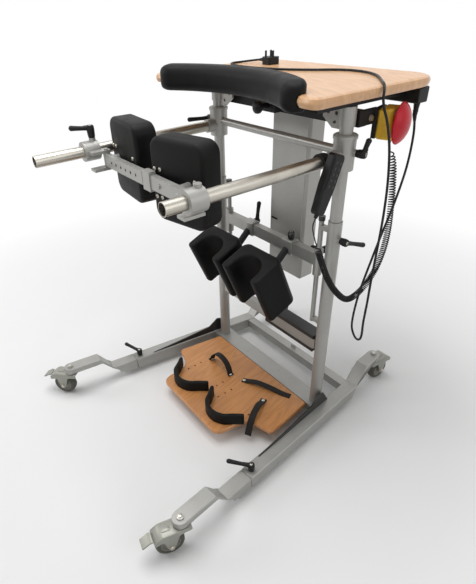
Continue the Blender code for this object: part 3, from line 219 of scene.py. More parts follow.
# %% [markdown]
# The frame is steel with silver paint: a little metallic, a little rough, with fine flakes that only
# show as grain, and dull patches where hands and shoes have rubbed it. Some welded parts of the silver
# pieces are black. Boxes in the piece's own coordinates say where, so the paint needs no extra piece.

# %% Silver paint
PAINT_METAL = 0.40


def silver_paint(name, bright, dull, black=()):
    finish, place = new_finish(name, metallic=PAINT_METAL)
    flakes = place.noise(1400.0, 1.0)
    patches = place.noise(9.0, 4.0, 0.4)
    scuffs = place.stretched(1.0, 1.0, 6.0).noise(60.0, 5.0).within(0.66, 0.76)
    grain = (patches + flakes * 0.5).within(0.45, 1.05)
    colour = scuffs.over(grain.colours(dull, bright), tuple(value * 0.78 for value in dull))
    rough = patches.within(0.3, 0.7, 0.34, 0.46) + scuffs * 0.10
    peel = place.noise(420.0, 2.0) + scuffs * 0.3
    mask = None
    for low, high in black:
        mask = mask.math("MAXIMUM", place.inside(low, high)) if mask else place.inside(low, high)
    if mask:
        colour = mask.over(colour, (0.012, 0.012, 0.012))
        link(finish, metallic=(1.0 - mask) * PAINT_METAL)
    return link(finish, base_color=colour, roughness=rough, normal=peel.bumps(0.12, 0.0004))


BRIGHT_SILVER, DULL_SILVER = (0.41, 0.405, 0.385), (0.33, 0.325, 0.305)
SILVER = silver_paint("silver_paint", BRIGHT_SILVER, DULL_SILVER)
CASTER = silver_paint("caster_silver", (0.36, 0.36, 0.32), (0.27, 0.27, 0.235))
SIDE, NEAR = 0.5, 0.1
BAR_Z, BAR_HALF, CHANNEL_X = 0.325, 0.0202, 0.0045
gusset = [(at(-SIDE, -0.420, 0.0706), at(SIDE, NEAR, 0.200))]
LEG_SILVER = silver_paint("leg_silver", BRIGHT_SILVER, DULL_SILVER, gusset)
channel = [(at(CHANNEL_X, -NEAR, BAR_Z + BAR_HALF), at(SIDE, NEAR, BAR_Z + NEAR)),
           (at(CHANNEL_X, -NEAR, BAR_Z - NEAR), at(SIDE, NEAR, BAR_Z - BAR_HALF)),
           (at(CHANNEL_X, 0.0128, BAR_Z - NEAR), at(SIDE, NEAR, BAR_Z + NEAR))]
BAR_SILVER = silver_paint("bar_silver", BRIGHT_SILVER, DULL_SILVER, channel)
rod_caps = [(at(-0.245, -NEAR, 0.7746), at(0.245, NEAR, 0.80))]
ROD_SILVER = silver_paint("upright_silver", BRIGHT_SILVER, DULL_SILVER, rod_caps)
print("silver finishes made")

# %% [markdown]
# The handrails are bare stainless tube, brushed along its length by the grinder and by hands.
# Noise that is squeezed across the tube and drawn out along it gives those hair lines.

# %% Satin steel
def satin_steel(name, along):
    finish, place = new_finish(name, metallic=1.0)
    lines = place.stretched(*along).noise(900.0, 4.0)
    smears = place.noise(14.0, 4.0, 0.6)
    colour = (lines * 0.5 + smears * 0.5).within(0.3, 0.7).colours((0.40, 0.375, 0.325), (0.55, 0.525, 0.47))
    rough = lines.within(0.3, 0.7, 0.22, 0.34) + smears * 0.08
    return link(finish, base_color=colour, roughness=rough, normal=lines.bumps(0.10, 0.0002))


STEEL = satin_steel("satin_steel", (1.0, 0.02, 1.0))
BRIGHT = satin_steel("bright_steel", (1.0, 1.0, 0.05))
print("steel finishes made")

# %% [markdown]
# Levers, knobs, the handset and the beams are black: moulded plastic with a fine grain, or powder
# paint with the same look. Dust lightens it a little.

# %% Black plastic
def black_plastic(name, colour, rough, grain):
    finish, place = new_finish(name, specular_ior_level=0.22)
    dust = place.noise(22.0, 5.0, 0.3).within(0.45, 0.8)
    paler = tuple(value * 1.5 + 0.003 for value in colour)
    fine = place.noise(grain, 2.0)
    shine = dust.within(0.0, 1.0, rough, rough + 0.16) + fine * 0.06
    grained = fine.bumps(0.18, 0.0003)
    return link(finish, base_color=dust.colours(colour, paler), roughness=shine, normal=grained)


BLACK = black_plastic("black_plastic", (0.009, 0.009, 0.009), 0.38, 1300.0)
BLACK_STEEL = black_plastic("black_steel", (0.011, 0.011, 0.011), 0.44, 900.0)
KEYS = black_plastic("key_grey", (0.040, 0.040, 0.040), 0.40, 900.0)
CORD = black_plastic("cord_black", (0.008, 0.008, 0.008), 0.36, 700.0)
print("black finishes made")

# %% [markdown]
# The pads are foam with a moulded skin: black, softly shining, with a leather grain pressed into it.
# Cells of two sizes make that grain, and rubbed places lose some of their depth.

# %% Foam skin
def foam_skin(name):
    finish, place = new_finish(name, specular_ior_level=0.13)
    cells = place.node("ShaderNodeTexVoronoi", {"Vector": place, "Scale": 520.0}, 0, feature="F1")
    fine = place.noise(1500.0, 2.0)
    worn = place.noise(16.0, 4.0, 0.5).within(0.40, 0.75)
    colour = worn.colours((0.0045, 0.0045, 0.0045), (0.0085, 0.0085, 0.008))
    rough = worn.within(0.0, 1.0, 0.44, 0.58) + cells * 0.08
    return link(finish, base_color=colour, roughness=rough, normal=(cells + fine * 0.35).bumps(0.22, 0.0006))


FOAM = foam_skin("black_foam")
print("foam finish made")

# %% [markdown]
# Webbing is woven: threads go over and under each other. Two waves, one along the strap and one
# across it, make the ribs. The strap carries its own map, so the weave follows its bends.

# %% Webbing
def webbing(name):
    finish, place = new_finish(name, specular_ior_level=0.25)
    tree = finish.node_tree
    flat = Shade(tree, tree.nodes.new("ShaderNodeUVMap").outputs["UV"])
    waves = {"Vector": flat, "Scale": 130.0}
    across = flat.node("ShaderNodeTexWave", waves, 1, wave_type="BANDS", bands_direction="X")
    along = flat.node("ShaderNodeTexWave", waves, 1, wave_type="BANDS", bands_direction="Y")
    ribs = across * along
    lint = place.noise(300.0, 3.0)
    colour = (ribs * 0.6 + lint * 0.4).colours((0.008, 0.007, 0.006), (0.026, 0.022, 0.019))
    rough = ribs.within(0.0, 1.0, 0.78, 0.62)
    return link(finish, base_color=colour, roughness=rough, normal=ribs.bumps(0.5, 0.0006))


WEBBING = webbing("black_webbing")
print("webbing finish made")

# %% [markdown]
# The tray and the footplate are lacquered beech board. Growth rings are bands bent by slow noise,
# the pores are short dark dashes along the grain, and a clear coat lies over them.

# %% Beech
def beech(name, pale, dark, turned, rough):
    finish, place = new_finish(name, coat_weight=0.35, coat_roughness=0.22)
    grain = place.node("ShaderNodeMapping", {"Vector": place, "Rotation": (0.0, 0.0, math.radians(turned))})
    slow = grain.stretched(0.25, 2.2, 1.0).noise(7.0, 3.0, 0.8)
    rings = (slow * 9.0).math("PINGPONG", 0.5) * 2.0
    pores = grain.stretched(0.06, 1.0, 0.5).noise(1100.0, 2.0).within(0.60, 0.74)
    blotch = place.noise(5.0, 3.0, 0.3)
    middle_tone = tuple(0.5 * (first + second) for first, second in zip(pale, dark))
    colour = (rings * 0.55 + blotch * 0.7).within(0.2, 0.95).colours(pale, middle_tone)
    colour = (pores * 0.55).over(colour, dark)
    shine = blotch.within(0.3, 0.7, rough, rough + 0.12)
    relief = (pores * -0.6 + rings * 0.2).bumps(0.10, 0.0004)
    return link(finish, base_color=colour, roughness=shine, normal=relief)


TRAY_WOOD = beech("tray_beech", (0.65, 0.385, 0.195), (0.40, 0.195, 0.085), 24.0, 0.36)
FOOT_WOOD = beech("foot_beech", (0.66, 0.295, 0.095), (0.36, 0.135, 0.036), 78.0, 0.42)
print("wood finishes made")

# %% [markdown]
# The wheels have a grey rubber tread. The stop control is bright yellow and red plastic, a little
# worn, with no words on it.

# %% Rubber and bright plastic
def plain_plastic(name, colour, rough, shade, gloss=0.40):
    finish, place = new_finish(name, specular_ior_level=gloss)
    marks = place.noise(40.0, 5.0, 0.5).within(0.5, 0.8)
    darker = tuple(value * shade for value in colour)
    fine = place.noise(900.0, 2.0)
    shine = marks.within(0.0, 1.0, rough, rough + 0.2)
    grained = fine.bumps(0.08, 0.0003)
    return link(finish, base_color=marks.colours(colour, darker), roughness=shine, normal=grained)


RUBBER = plain_plastic("wheel_grey", (0.080, 0.077, 0.062), 0.60, 0.70)
HUB = plain_plastic("hub_grey", (0.20, 0.195, 0.17), 0.45, 0.75)
YELLOW = plain_plastic("stop_yellow", (0.78, 0.47, 0.03), 0.36, 0.82)
RED = plain_plastic("stop_red", (0.47, 0.006, 0.018), 0.30, 0.80, 0.25)
print("bright finishes made")

# %% [markdown]
# The rigid solids arrive as loose triangles with knife edges. Weld joins the triangles, a planar
# Decimate takes away the lines across flat faces, a small Bevel catches the light along each edge,
# and a node group shades round faces smooth. The solids themselves aren't touched.

# %% Fine edges for the rigid pieces
def smooth_by_angle(limit):
    group = bpy.data.node_groups.new("smooth_by_angle", "GeometryNodeTree")
    for way in ("INPUT", "OUTPUT"):
        group.interface.new_socket("Geometry", in_out=way, socket_type="NodeSocketGeometry")
    start = group.nodes.new("NodeGroupInput")
    end = group.nodes.new("NodeGroupOutput")
    angle = group.nodes.new("GeometryNodeInputMeshEdgeAngle")
    sharp = group.nodes.new("FunctionNodeCompare")
    sharp.operation = "LESS_THAN"
    sharp.inputs["B"].default_value = math.radians(limit)
    edges = group.nodes.new("GeometryNodeSetShadeSmooth")
    edges.domain = "EDGE"
    faces = group.nodes.new("GeometryNodeSetShadeSmooth")
    faces.domain = "FACE"
    group.links.new(angle.outputs["Unsigned Angle"], sharp.inputs["A"])
    group.links.new(start.outputs[0], faces.inputs["Geometry"])
    group.links.new(faces.outputs[0], edges.inputs["Geometry"])
    group.links.new(sharp.outputs["Result"], edges.inputs["Shade Smooth"])
    group.links.new(edges.outputs[0], end.inputs[0])
    return group


SHARP_ANGLE = 36.0
SMOOTH = smooth_by_angle(SHARP_ANGLE)


def dress(node, finish, edge=0.0008):
    thing = frame["nodes"][node]
    thing.data.materials.clear()
    thing.data.materials.append(finish)
    weld = thing.modifiers.new("weld", "WELD")
    weld.merge_threshold = 0.00001
    if edge:
        flat = thing.modifiers.new("flat_faces", "DECIMATE")
        flat.decimate_type = "DISSOLVE"
        flat.angle_limit = math.radians(0.5)
        rim = thing.modifiers.new("edges", "BEVEL")
        rim.width = edge
        rim.segments = 2
        rim.limit_method = "ANGLE"
        rim.angle_limit = math.radians(SHARP_ANGLE)
    shade = thing.modifiers.new("shading", "NODES")
    shade.node_group = SMOOTH
    level = thing.modifiers.new("level_faces", "WEIGHTED_NORMAL")
    level.keep_sharp = True


for word in ("left", "right"):
    for name in ("front_leg", "inner_tube", "hip_clamp", "hip_arm"):
        dress(word + "_" + name, SILVER)
    dress(word + "_leg", LEG_SILVER)
    dress(word + "_upright", ROD_SILVER)
    dress(word + "_front_caster_pedal", CASTER)
for node in ("rear_cross_tube", "footplate_carrier", "handrail_frame", "lift_column", "knee_bar"):
    dress(node, SILVER)
dress("lower_crossbar", BAR_SILVER)
for node in ("head_beam", "tray_frame"):
    dress(node, BLACK_STEEL)
for node in ("handset", "tray_knob", "mains_plug"):
    dress(node, BLACK, 0.0005)
dress("tray_top", TRAY_WOOD, 0.0)
dress("footplate", FOOT_WOOD, 0.0)
dress("stop_box", YELLOW)
print("rigid pieces dressed")

# %% [markdown]
# A new piece starts as a bmesh. One helper turns it into a named object at the origin, lets it ride
# on its body, and hides the solids that it stands for.

# %% A new piece
def new_piece(name, work, finish, body, nodes=(), smooth=38.0):
    mesh = bpy.data.meshes.new(name)
    work.normal_update()
    work.to_mesh(mesh)
    work.free()
    mesh.shade_smooth()
    mesh.set_sharp_from_angle(angle=math.radians(smooth))
    mesh.materials.append(finish)
    piece = placed(name, mesh)
    if body:
        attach(piece, body)
    if nodes:
        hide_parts(*nodes)
    return piece


def soft_piece(name, work, body, node, smooth=60.0):
    piece = new_piece(name, work, FOAM, body, [node], smooth)
    return piece


print("piece helper ready")

# %% [markdown]
# The two cords come next, because everything else has to keep clear of them. A route is a few points
# that the cord passes through. A smooth curve goes through them, and a round tube follows the curve.

# %% Lines and tubes
def mm(*points):
    return [tuple(value / 1000.0 for value in point) for point in points]


def smooth_line(points, steps):
    line = [Vector(point) for point in points]
    ends = [2 * line[0] - line[1]] + line + [2 * line[-1] - line[-2]]
    result = []
    for index in range(1, len(ends) - 2):
        before, here, there, after = ends[index - 1:index + 3]
        for step in range(steps):
            t = step / steps
            result.append(0.5 * (2 * here + (there - before) * t
                                 + (2 * before - 5 * here + 4 * there - after) * t * t
                                 + (3 * here - before - 3 * there + after) * t ** 3))
    result.append(line[-1])
    return result


def facing_out(work):
    bmesh.ops.recalc_face_normals(work, faces=work.faces)
    return work


def line_length(points):
    return sum((second - first).length for first, second in zip(points, points[1:]))


def tube(points, radius, resolution=3, radii=None):
    curve = bpy.data.curves.new("tube", "CURVE")
    curve.dimensions = "3D"
    curve.bevel_depth = radius
    curve.bevel_resolution = resolution
    curve.use_fill_caps = True
    spline = curve.splines.new("POLY")
    spline.points.add(len(points) - 1)
    for index, point in enumerate(points):
        spline.points[index].co = (*point, 1.0)
        spline.points[index].radius = radii[index] if radii else 1.0
    holder = placed("tube", curve)
    graph = bpy.context.evaluated_depsgraph_get()
    work = bmesh.new()
    work.from_mesh(holder.evaluated_get(graph).to_mesh())
    bpy.data.objects.remove(holder, do_unlink=True)
    bmesh.ops.remove_doubles(work, verts=work.verts, dist=0.00001)
    return facing_out(work)


print("line helpers ready")

# %% [markdown]
# The mains lead leaves its gland below the tray's rear corner, hangs in a long narrow loop beside the
# upright, comes back up over the tray's edge and lies across the top, where its plug rests.

# %% Mains lead
MAINS_RADIUS = 0.0033
SEAT = 0.0003
TRAY_TOP = 1.148
TRAY_EDGE = 0.355
lie = TRAY_TOP + MAINS_RADIUS + SEAT
gland = (0.326, 0.223, 1.063 - SEAT)
plug_end = (-0.225, 0.160, TRAY_TOP + 0.011 + SEAT)


def beside_tray(out, y, drop):
    return Vector((TRAY_EDGE + out, y, TRAY_TOP - drop))


falling = mm((-18, 218, 150), (0, 186, 228), (20, 128, 312), (34, 70, 393), (42.5, 26, 470), (44, 0, 540),
             (43.5, -10.5, 600))
rising = mm((103.5, -44.5, 600), (102.5, -41, 540), (94, -28, 462), (80, -4, 378), (67, 16, 298),
            (53, 30, 218), (38, 34, 138), (24, 28, 78), (15, 20.5, 48))
over_edge = mm((11, 16.5, 26.4), (8.2, 19.5, 11.4), (0.5, 27.4, 0.4), (-10, 38, -3.6))
lying = mm((318, 66), (284, 102), (246, 136), (200, 162), (150, 172), (95, 160), (20, 108), (-80, 64),
           (-190, 50), (-272, 60), (-312, 88), (-313, 125))
mains_route = [Vector(gland) - UP * 0.012]
mains_route += [beside_tray(*point) for point in falling]
for step in range(5):
    angle = math.pi * step / 4
    mains_route.append(beside_tray(0.0735 - 0.030 * math.cos(angle), -0.0275 + 0.0145 * math.cos(angle),
                                   0.650 + 0.0333 * math.sin(angle)))
mains_route += [beside_tray(*point) for point in rising + over_edge]
mains_route += [Vector((x, y, lie)) for x, y in lying]
mains_route += [Vector((-0.288, 0.151, lie + 0.003)), Vector((-0.262, 0.1595, lie + 0.006))]
mains_route.append(Vector(plug_end) - Vector((0.018, 0.0, 0.0)))
mains_line = [Vector(gland)] + smooth_line(mains_route, 6) + [Vector(plug_end)]
mains_line = [point + SHIFT for point in mains_line]
mains = new_piece("mains_lead", tube(mains_line, MAINS_RADIUS, 4), CORD, "tray", ["mains_cord"])
line_length(mains_line)
print("mains lead, m", round(line_length(mains_line), 3))

# %% [markdown]
# The handset's cord is curly. It leaves the handset straight, curls in a tight helix through its slack,
# and the helix opens out where its own weight pulls it, near the stop box. One angle that grows along
# the route makes it, and that angle grows more slowly where the curls are stretched.

# %% Curly cord
CURL_RADIUS = 0.0080
CURL_WIRE = 0.0018
STOP_Z = 1.047
STOP_TURN = math.radians(-73.0)
STOP_CENTRE = Vector((0.338, 0.124, STOP_Z))
HANDSET = (0.316, -0.096, 0.927)
HANDSET_TILT = math.radians(-21.0)
SWELL_LENGTH = 0.030
STRETCH_FROM = 0.55
END_PITCH = 0.033
foot = Matrix.Rotation(HANDSET_TILT, 3, "X") @ Vector((0.0, 0.0, -0.089))
start = foot + Vector(HANDSET)
down = foot.normalized()
stop_end = STOP_CENTRE + Matrix.Rotation(STOP_TURN, 3, "Z") @ Vector((-0.022, -0.012, -0.051 - SEAT))
hanging = mm((334, -150, 235), (345, -138, 285), (356, -100, 380), (362, -55, 445), (366, -8, 482),
             (370, 43, 470), (374, 86, 425), (375, 113, 365), (371, 128, 300), (361.6, 136.3, 230),
             (349.6, 144, 170), (335.6, 149, 115))
coil_route = [start + down * SEAT, start + down * 0.020]
coil_route += [(x, y, STOP_Z - drop) for x, y, drop in hanging]
coil_route += [stop_end - UP * 0.016, stop_end]


def curled(route, tight, loose, lead, tail):
    line = smooth_line(route, 170)
    whole = line_length(line)
    gone = 0.0
    angle = 0.0
    across = Vector((1.0, 0.0, 0.0))
    points = [line[0]]
    for before, here, after in zip(line, line[1:], line[2:]):
        step = (here - before).length
        gone += step
        along = (after - before).normalized()
        across = (across - along * across.dot(along)).normalized()
        stretched = min(max((gone / whole - STRETCH_FROM) / (1.0 - STRETCH_FROM), 0.0), 1.0)
        from_end = min(gone - lead, whole - tail - gone)
        swell = min(max(from_end / SWELL_LENGTH, 0.0), 1.0)
        pitch = tight + (loose - tight) * stretched + END_PITCH * math.sqrt(1.0 - swell)
        angle += 2.0 * math.pi * step / pitch
        spoke = across * math.cos(angle) + along.cross(across) * math.sin(angle)
        points.append(here + spoke * CURL_RADIUS * swell)
    points.append(line[-1])
    print("curls", round(angle / 2.0 / math.pi, 1), "cord along its curls, m", round(line_length(points), 3))
    return points


coil_line = [point + SHIFT for point in curled(coil_route, 0.0052, 0.0082, 0.075, 0.012)]
coil = new_piece("curly_cord", tube(coil_line, CURL_WIRE, 2), CORD, None, ["coil_cord"])
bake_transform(coil)
line_length(coil_line)

# %% [markdown]
# The soft pieces come next. Each starts from a flat outline: a few corners, each one rounded by a
# bevel of its vertex. The outline is then pushed up into a block, or carried along a line.

# %% Outlines, blocks and sweeps
def outline(corners, segments=6):
    work = bmesh.new()
    points = [work.verts.new((x, y, 0.0)) for x, y, radius in corners]
    work.faces.new(points)
    for point, (x, y, radius) in zip(points, corners):
        if radius:
            bmesh.ops.bevel(work, geom=[point], offset=radius, offset_type="OFFSET", affect="VERTICES",
                            segments=segments, profile=0.5, material=-1)
    return work


def rectangle(wide, tall, radius, top_radius=None):
    above = radius if top_radius is None else top_radius
    return [(-wide, -tall, radius), (wide, -tall, radius), (wide, tall, above), (-wide, tall, above)]


def raised(work, height):
    flat = list(work.faces)
    grown = bmesh.ops.extrude_face_region(work, geom=flat)["geom"]
    tops = [item for item in grown if isinstance(item, bmesh.types.BMVert)]
    bmesh.ops.translate(work, vec=(0.0, 0.0, height), verts=tops)
    return facing_out(work)


def rounded(work, radius, segments, angle=40.0):
    sharp = [edge for edge in work.edges if edge.calc_face_angle(0.0) > math.radians(angle)]
    bmesh.ops.bevel(work, geom=sharp, offset=radius, offset_type="OFFSET", affect="EDGES",
                    segments=segments, profile=0.5, material=-1)
    return work


def moved(work, matrix):
    bmesh.ops.transform(work, matrix=matrix, verts=work.verts)
    return work


def swept(work, stations):
    bmesh.ops.transform(work, matrix=stations[0], verts=work.verts)
    edges = list(work.edges)
    for before, after in zip(stations, stations[1:]):
        grown = bmesh.ops.extrude_edge_only(work, edges=edges)["geom"]
        rim = [item for item in grown if isinstance(item, bmesh.types.BMVert)]
        known = set(rim)
        edges = [item for item in grown
                 if isinstance(item, bmesh.types.BMEdge) and known.issuperset(item.verts)]
        bmesh.ops.transform(work, matrix=after @ before.inverted(), verts=rim)
    bmesh.ops.contextual_create(work, geom=edges)
    return facing_out(work)


def added(work, other):
    mesh = bpy.data.meshes.new("joined")
    other.to_mesh(mesh)
    other.free()
    work.from_mesh(mesh)
    bpy.data.meshes.remove(mesh)
    return work


print("outline helpers ready")

# %% [markdown]
# A screw head, a rivet, a wheel or a knob is turned: half of its profile is drawn from the middle
# outwards and spun round its axis. The spin closes on itself, so its seam is merged.

# %% Turned shapes
def turned(profile, axis, centre, steps=24):
    work = bmesh.new()
    points = [work.verts.new((radius, 0.0, height)) for radius, height in profile]
    for first, second in zip(points, points[1:]):
        work.edges.new((first, second))
    if profile[0][0] > 0.0:
        work.edges.new((points[-1], points[0]))
    everything = list(work.verts) + list(work.edges)
    bmesh.ops.spin(work, geom=everything, cent=(0.0, 0.0, 0.0), axis=(0.0, 0.0, 1.0), angle=2.0 * math.pi,
                   steps=steps, use_merge=True)
    bmesh.ops.remove_doubles(work, verts=work.verts, dist=0.00002)
    facing_out(work)
    turn = Vector(axis).to_track_quat("Z", "Y").to_matrix().to_4x4()
    return moved(work, Matrix.Translation(centre) @ turn)


SCREW = mm((0, 1.2), (2.6, 1.2), (2.8, 3), (4, 2.9), (5.2, 2), (5.6, 0), (0, 0))
RIVET = mm((0, 3), (2.2, 2.9), (4.6, 2.2), (6.2, 1), (6.6, 0), (0, 0))


def fasteners(name, profile, places, axis, body, steps=16):
    work = bmesh.new()
    for place in places:
        added(work, turned(profile, axis, place, steps))
    return new_piece(name, work, BRIGHT, body, ())


print("turning helpers ready")

# %% [markdown]
# The foam along the tray's cut-out is one long piece with a slot in its back that grips the board.
# Its section, a rounded C, is carried round the arc of the cut-out. At both ends the section gets
# narrower along a quarter circle, and its lips draw in towards the board, which rounds the end off.

# %% Tray pad
CUTOUT_RADIUS = 0.500
CUTOUT_CENTRE = -0.600
PAD_LINE = CUTOUT_RADIUS - 0.004
PAD_Z = TRAY_TOP - 0.007
SLOT_BOTTOM, SLOT_TOP = -0.0193, 0.0073
PAD_DEEP, PAD_TALL, SLOT_BACK = 0.031, 0.0365, 0.0037
NOSE = 0.036
c_section = outline([
    (-PAD_DEEP, -PAD_TALL, 0.026), (PAD_DEEP, -PAD_TALL, 0.013), (PAD_DEEP, SLOT_BOTTOM, 0.003),
    (SLOT_BACK, SLOT_BOTTOM, 0.0), (SLOT_BACK, SLOT_TOP, 0.0), (PAD_DEEP, SLOT_TOP, 0.003),
    (PAD_DEEP, PAD_TALL, 0.014), (-PAD_DEEP, PAD_TALL, 0.026)])


def pad_station(angle, beyond):
    outward = Vector((math.sin(angle), math.cos(angle), 0.0))
    along = Vector((math.cos(angle), -math.sin(angle), 0.0))
    place = at(0.0, CUTOUT_CENTRE, PAD_Z) + outward * PAD_LINE + along * beyond
    turn = Matrix((outward, UP, along)).transposed().to_4x4()
    narrow = max(math.sqrt(max(1.0 - (beyond / NOSE) ** 2, 0.0)), 0.08)
    pivot = Matrix.Translation((SLOT_BACK, 0.0, 0.0))
    squeeze = pivot @ Matrix.Diagonal((narrow, 1.0, 1.0, 1.0)) @ pivot.inverted()
    return Matrix.Translation(place) @ turn @ squeeze


pad_first, pad_last = math.radians(-33.0), math.radians(30.6)
ends = [NOSE * share for share in (0.995, 0.96, 0.88, 0.75, 0.55, 0.29)]
stations = [pad_station(pad_first, -beyond) for beyond in ends]
stations += [pad_station(pad_first + (pad_last - pad_first) * step / 48, 0.0) for step in range(49)]
stations += [pad_station(pad_last, beyond) for beyond in reversed(ends)]
foam = swept(c_section, stations)
for vertex in foam.verts:
    flat = vertex.co - at(0.0, CUTOUT_CENTRE, PAD_Z)
    angle = math.atan2(flat.x, flat.y)
    beyond = max(angle - pad_last, pad_first - angle, 0.0) * PAD_LINE / NOSE
    draw = 0.80 * (1.0 - math.sqrt(max(1.0 - beyond * beyond, 0.0)))
    if flat.z > SLOT_TOP:
        vertex.co.z -= (flat.z - SLOT_TOP) * draw
    if flat.z < SLOT_BOTTOM:
        vertex.co.z -= (flat.z - SLOT_BOTTOM) * draw
tray_pad = soft_piece("tray_pad_foam", foam, "tray", "tray_pad", 50.0)
print("tray pad, points", len(tray_pad.data.vertices))

# %% [markdown]
# Each hip pad is a firm moulded block: round corners where the person leans on it, softer rims, and a
# face that swells a little. An inset of the front face, pushed forward, makes that swell.

# %% Hip pads
HIP_SIZE = (0.190, 0.070, 0.222)
HIP_CORNER, HIP_RIM = 0.034, 0.011
HIP_PLACE = {"left": (-0.160, -0.395, 0.957, -5.0), "right": (0.1017, -0.3887, 0.950, 12.0)}


def hip_frame(word):
    x, y, z, yaw = HIP_PLACE[word]
    return Matrix.Translation(at(x, y, z)) @ Matrix.Rotation(math.radians(yaw), 4, "Z")


def hip_pad(word):
    wide, deep, tall = HIP_SIZE[0] / 2, HIP_SIZE[1], HIP_SIZE[2] / 2
    work = raised(outline(rectangle(wide, tall, HIP_CORNER), 9), deep)
    rounded(work, HIP_RIM, 4, 60.0)
    work.normal_update()
    front = max((face for face in work.faces if face.normal.z < -0.9), key=lambda face: face.calc_area())
    for inset, swell in ((0.008, 0.0011), (0.007, 0.0007), (0.005, 0.0003)):
        bmesh.ops.inset_individual(work, faces=[front], thickness=inset, depth=swell)
    stand = Matrix.Rotation(math.pi / 2, 4, "X") @ Matrix.Translation((0.0, 0.0, -deep / 2))
    moved(work, hip_frame(word) @ stand)
    soft_piece(word + "_hip_cushion", work, word + "_hip_arm", word + "_hip_pad")
    back = -deep / 2
    holes = mm((78, 30), (58, 30), (78, -44), (58, -44), (-66, 20))
    places = [hip_frame(word) @ Vector((-across, back, up)) for across, up in holes]
    rear = hip_frame(word).to_3x3() @ Vector((0.0, -1.0, 0.0))
    fasteners(word + "_hip_screws", SCREW, places, rear, word + "_hip_arm")


for word in ("left", "right"):
    hip_pad(word)
print("hip pads made")

# %% [markdown]
# A knee cup is a deep block with a half-round channel for the shin. Its outline is a rectangle with a
# notch, and the two inner corners of the notch are rounded so far that they meet in a half circle.
# The block hangs on a stem from a saddle round the knee bar, and leans towards the person.

# %% Knee cups
KNEE_SIZE = (0.178, 0.122, 0.190)
KNEE_TILT = math.radians(23.0)
KNEE_BAR_Z = 0.645
KNEE_APART = 0.100
KNEE_EDGE, KNEE_BACK = 0.0125, 0.028


def knee_cup(word, side):
    wide, deep = KNEE_SIZE[0] / 2, KNEE_SIZE[1] / 2
    mouth, floor_y = KNEE_SIZE[0] * 0.31, deep - 0.036
    bowl = mouth * 0.97
    work = outline([
        (-wide, -deep, KNEE_EDGE), (-mouth, -deep, KNEE_EDGE), (-mouth, floor_y, bowl),
        (mouth, floor_y, bowl), (mouth, -deep, KNEE_EDGE), (wide, -deep, KNEE_EDGE),
        (wide, deep, KNEE_BACK), (-wide, deep, KNEE_BACK)], 10)
    raised(work, KNEE_SIZE[2])
    rounded(work, 0.0085, 4, 60.0)
    centre = at(side * KNEE_APART, -0.133, KNEE_BAR_Z - 0.092)
    lean = Matrix.Translation(centre) @ Matrix.Rotation(KNEE_TILT, 4, "X")
    moved(work, lean @ Matrix.Translation((0.0, 0.0, -KNEE_SIZE[2] / 2)))
    soft_piece(word + "_knee_cup", work, word + "_knee", word + "_knee_pad")
    back = centre + Matrix.Rotation(KNEE_TILT, 3, "X") @ Vector((0.0, deep - 0.004, 0.0))
    front = at(side * KNEE_APART, -0.0145, KNEE_BAR_Z - 0.008)
    stem = tube([front, front.lerp(back, 0.5), back], 0.012, 5)
    new_piece(word + "_knee_stem", stem, BLACK_STEEL, word + "_knee", ())
    saddle = outline(rectangle(0.0175, 0.025, 0.004))
    collar(saddle, [corner[:2] for corner in rectangle(0.013, 0.0205, 0.0)])
    raised(saddle, 0.048)
    rounded(saddle, 0.0008, 2, 60.0)
    stand = Matrix(((0, 0, 1, 0), (1, 0, 0, 0), (0, 1, 0, 0), (0, 0, 0, 1)))
    moved(saddle, Matrix.Translation(at(side * KNEE_APART - 0.024, 0.0, KNEE_BAR_Z)) @ stand)
    new_piece(word + "_knee_saddle", saddle, SILVER, word + "_knee", ())


def collar(work, hole):
    outer = list(work.edges)
    bmesh.ops.delete(work, geom=list(work.faces), context="FACES_ONLY")
    points = [work.verts.new((x, y, 0.0)) for x, y in hole]
    inner = [work.edges.new((first, second)) for first, second in zip(points, points[1:] + points[:1])]
    bmesh.ops.triangle_fill(work, use_beauty=True, edges=outer + inner)


for word, side in (("left", -1), ("right", 1)):
    knee_cup(word, side)
print("knee cups made")

# %% [markdown]
# The heel cups are strips of foam that stand on edge, bent to a U and screwed to the board. Their
# section is a small rounded rectangle, carried along the bend with a round nose at each end.

# %% Heel cups
FOOT_TOP = 0.066


def heel_cup(word, side):
    centre = Vector((side * 0.110, -0.287, 0.0))
    curve = [centre + 0.076 * Vector((math.cos(angle), math.sin(angle), 0.0))
             for angle in (math.radians(205 + 130 * step / 18) for step in range(19))]
    first = curve[0] + (curve[0] - curve[1]).normalized() * 0.032 + Vector((-0.008, 0.0, 0.0))
    last = curve[-1] + (curve[-1] - curve[-2]).normalized() * 0.032 + Vector((0.008, 0.0, 0.0))
    line = smooth_line([first, first.lerp(curve[0], 0.5)] + curve[::3] + [curve[-1].lerp(last, 0.5), last], 5)
    stations = []
    for index, point in enumerate(line):
        along = (line[min(index + 1, len(line) - 1)] - line[max(index - 1, 0)]).normalized()
        stations.append((point, along, 1.0))
    nose = [(0.0070, 0.20), (0.0064, 0.45), (0.0048, 0.72), (0.0026, 0.92)]
    tips = [(stations[0][0] - stations[0][1] * out, stations[0][1], thin) for out, thin in nose]
    tails = [(stations[-1][0] + stations[-1][1] * out, stations[-1][1], thin) for out, thin in reversed(nose)]
    matrices = []
    for point, along, thin in tips + stations + tails:
        across = Vector((along.y, -along.x, 0.0))
        turn = Matrix((across, UP, -along)).transposed().to_4x4()
        lift = at(point.x, point.y, FOOT_TOP + SEAT + 0.0225)
        slim = Matrix.Diagonal((thin, 0.94 + 0.06 * thin, 1.0, 1.0))
        matrices.append(Matrix.Translation(lift) @ turn @ slim)
    section = outline(rectangle(0.0075, 0.0222, 0.002, 0.0045))
    soft_piece(word + "_heel_foam", swept(section, matrices), "base", word + "_heel_cup")


for word, side in (("left", -1), ("right", 1)):
    heel_cup(word, side)
print("heel cups made")
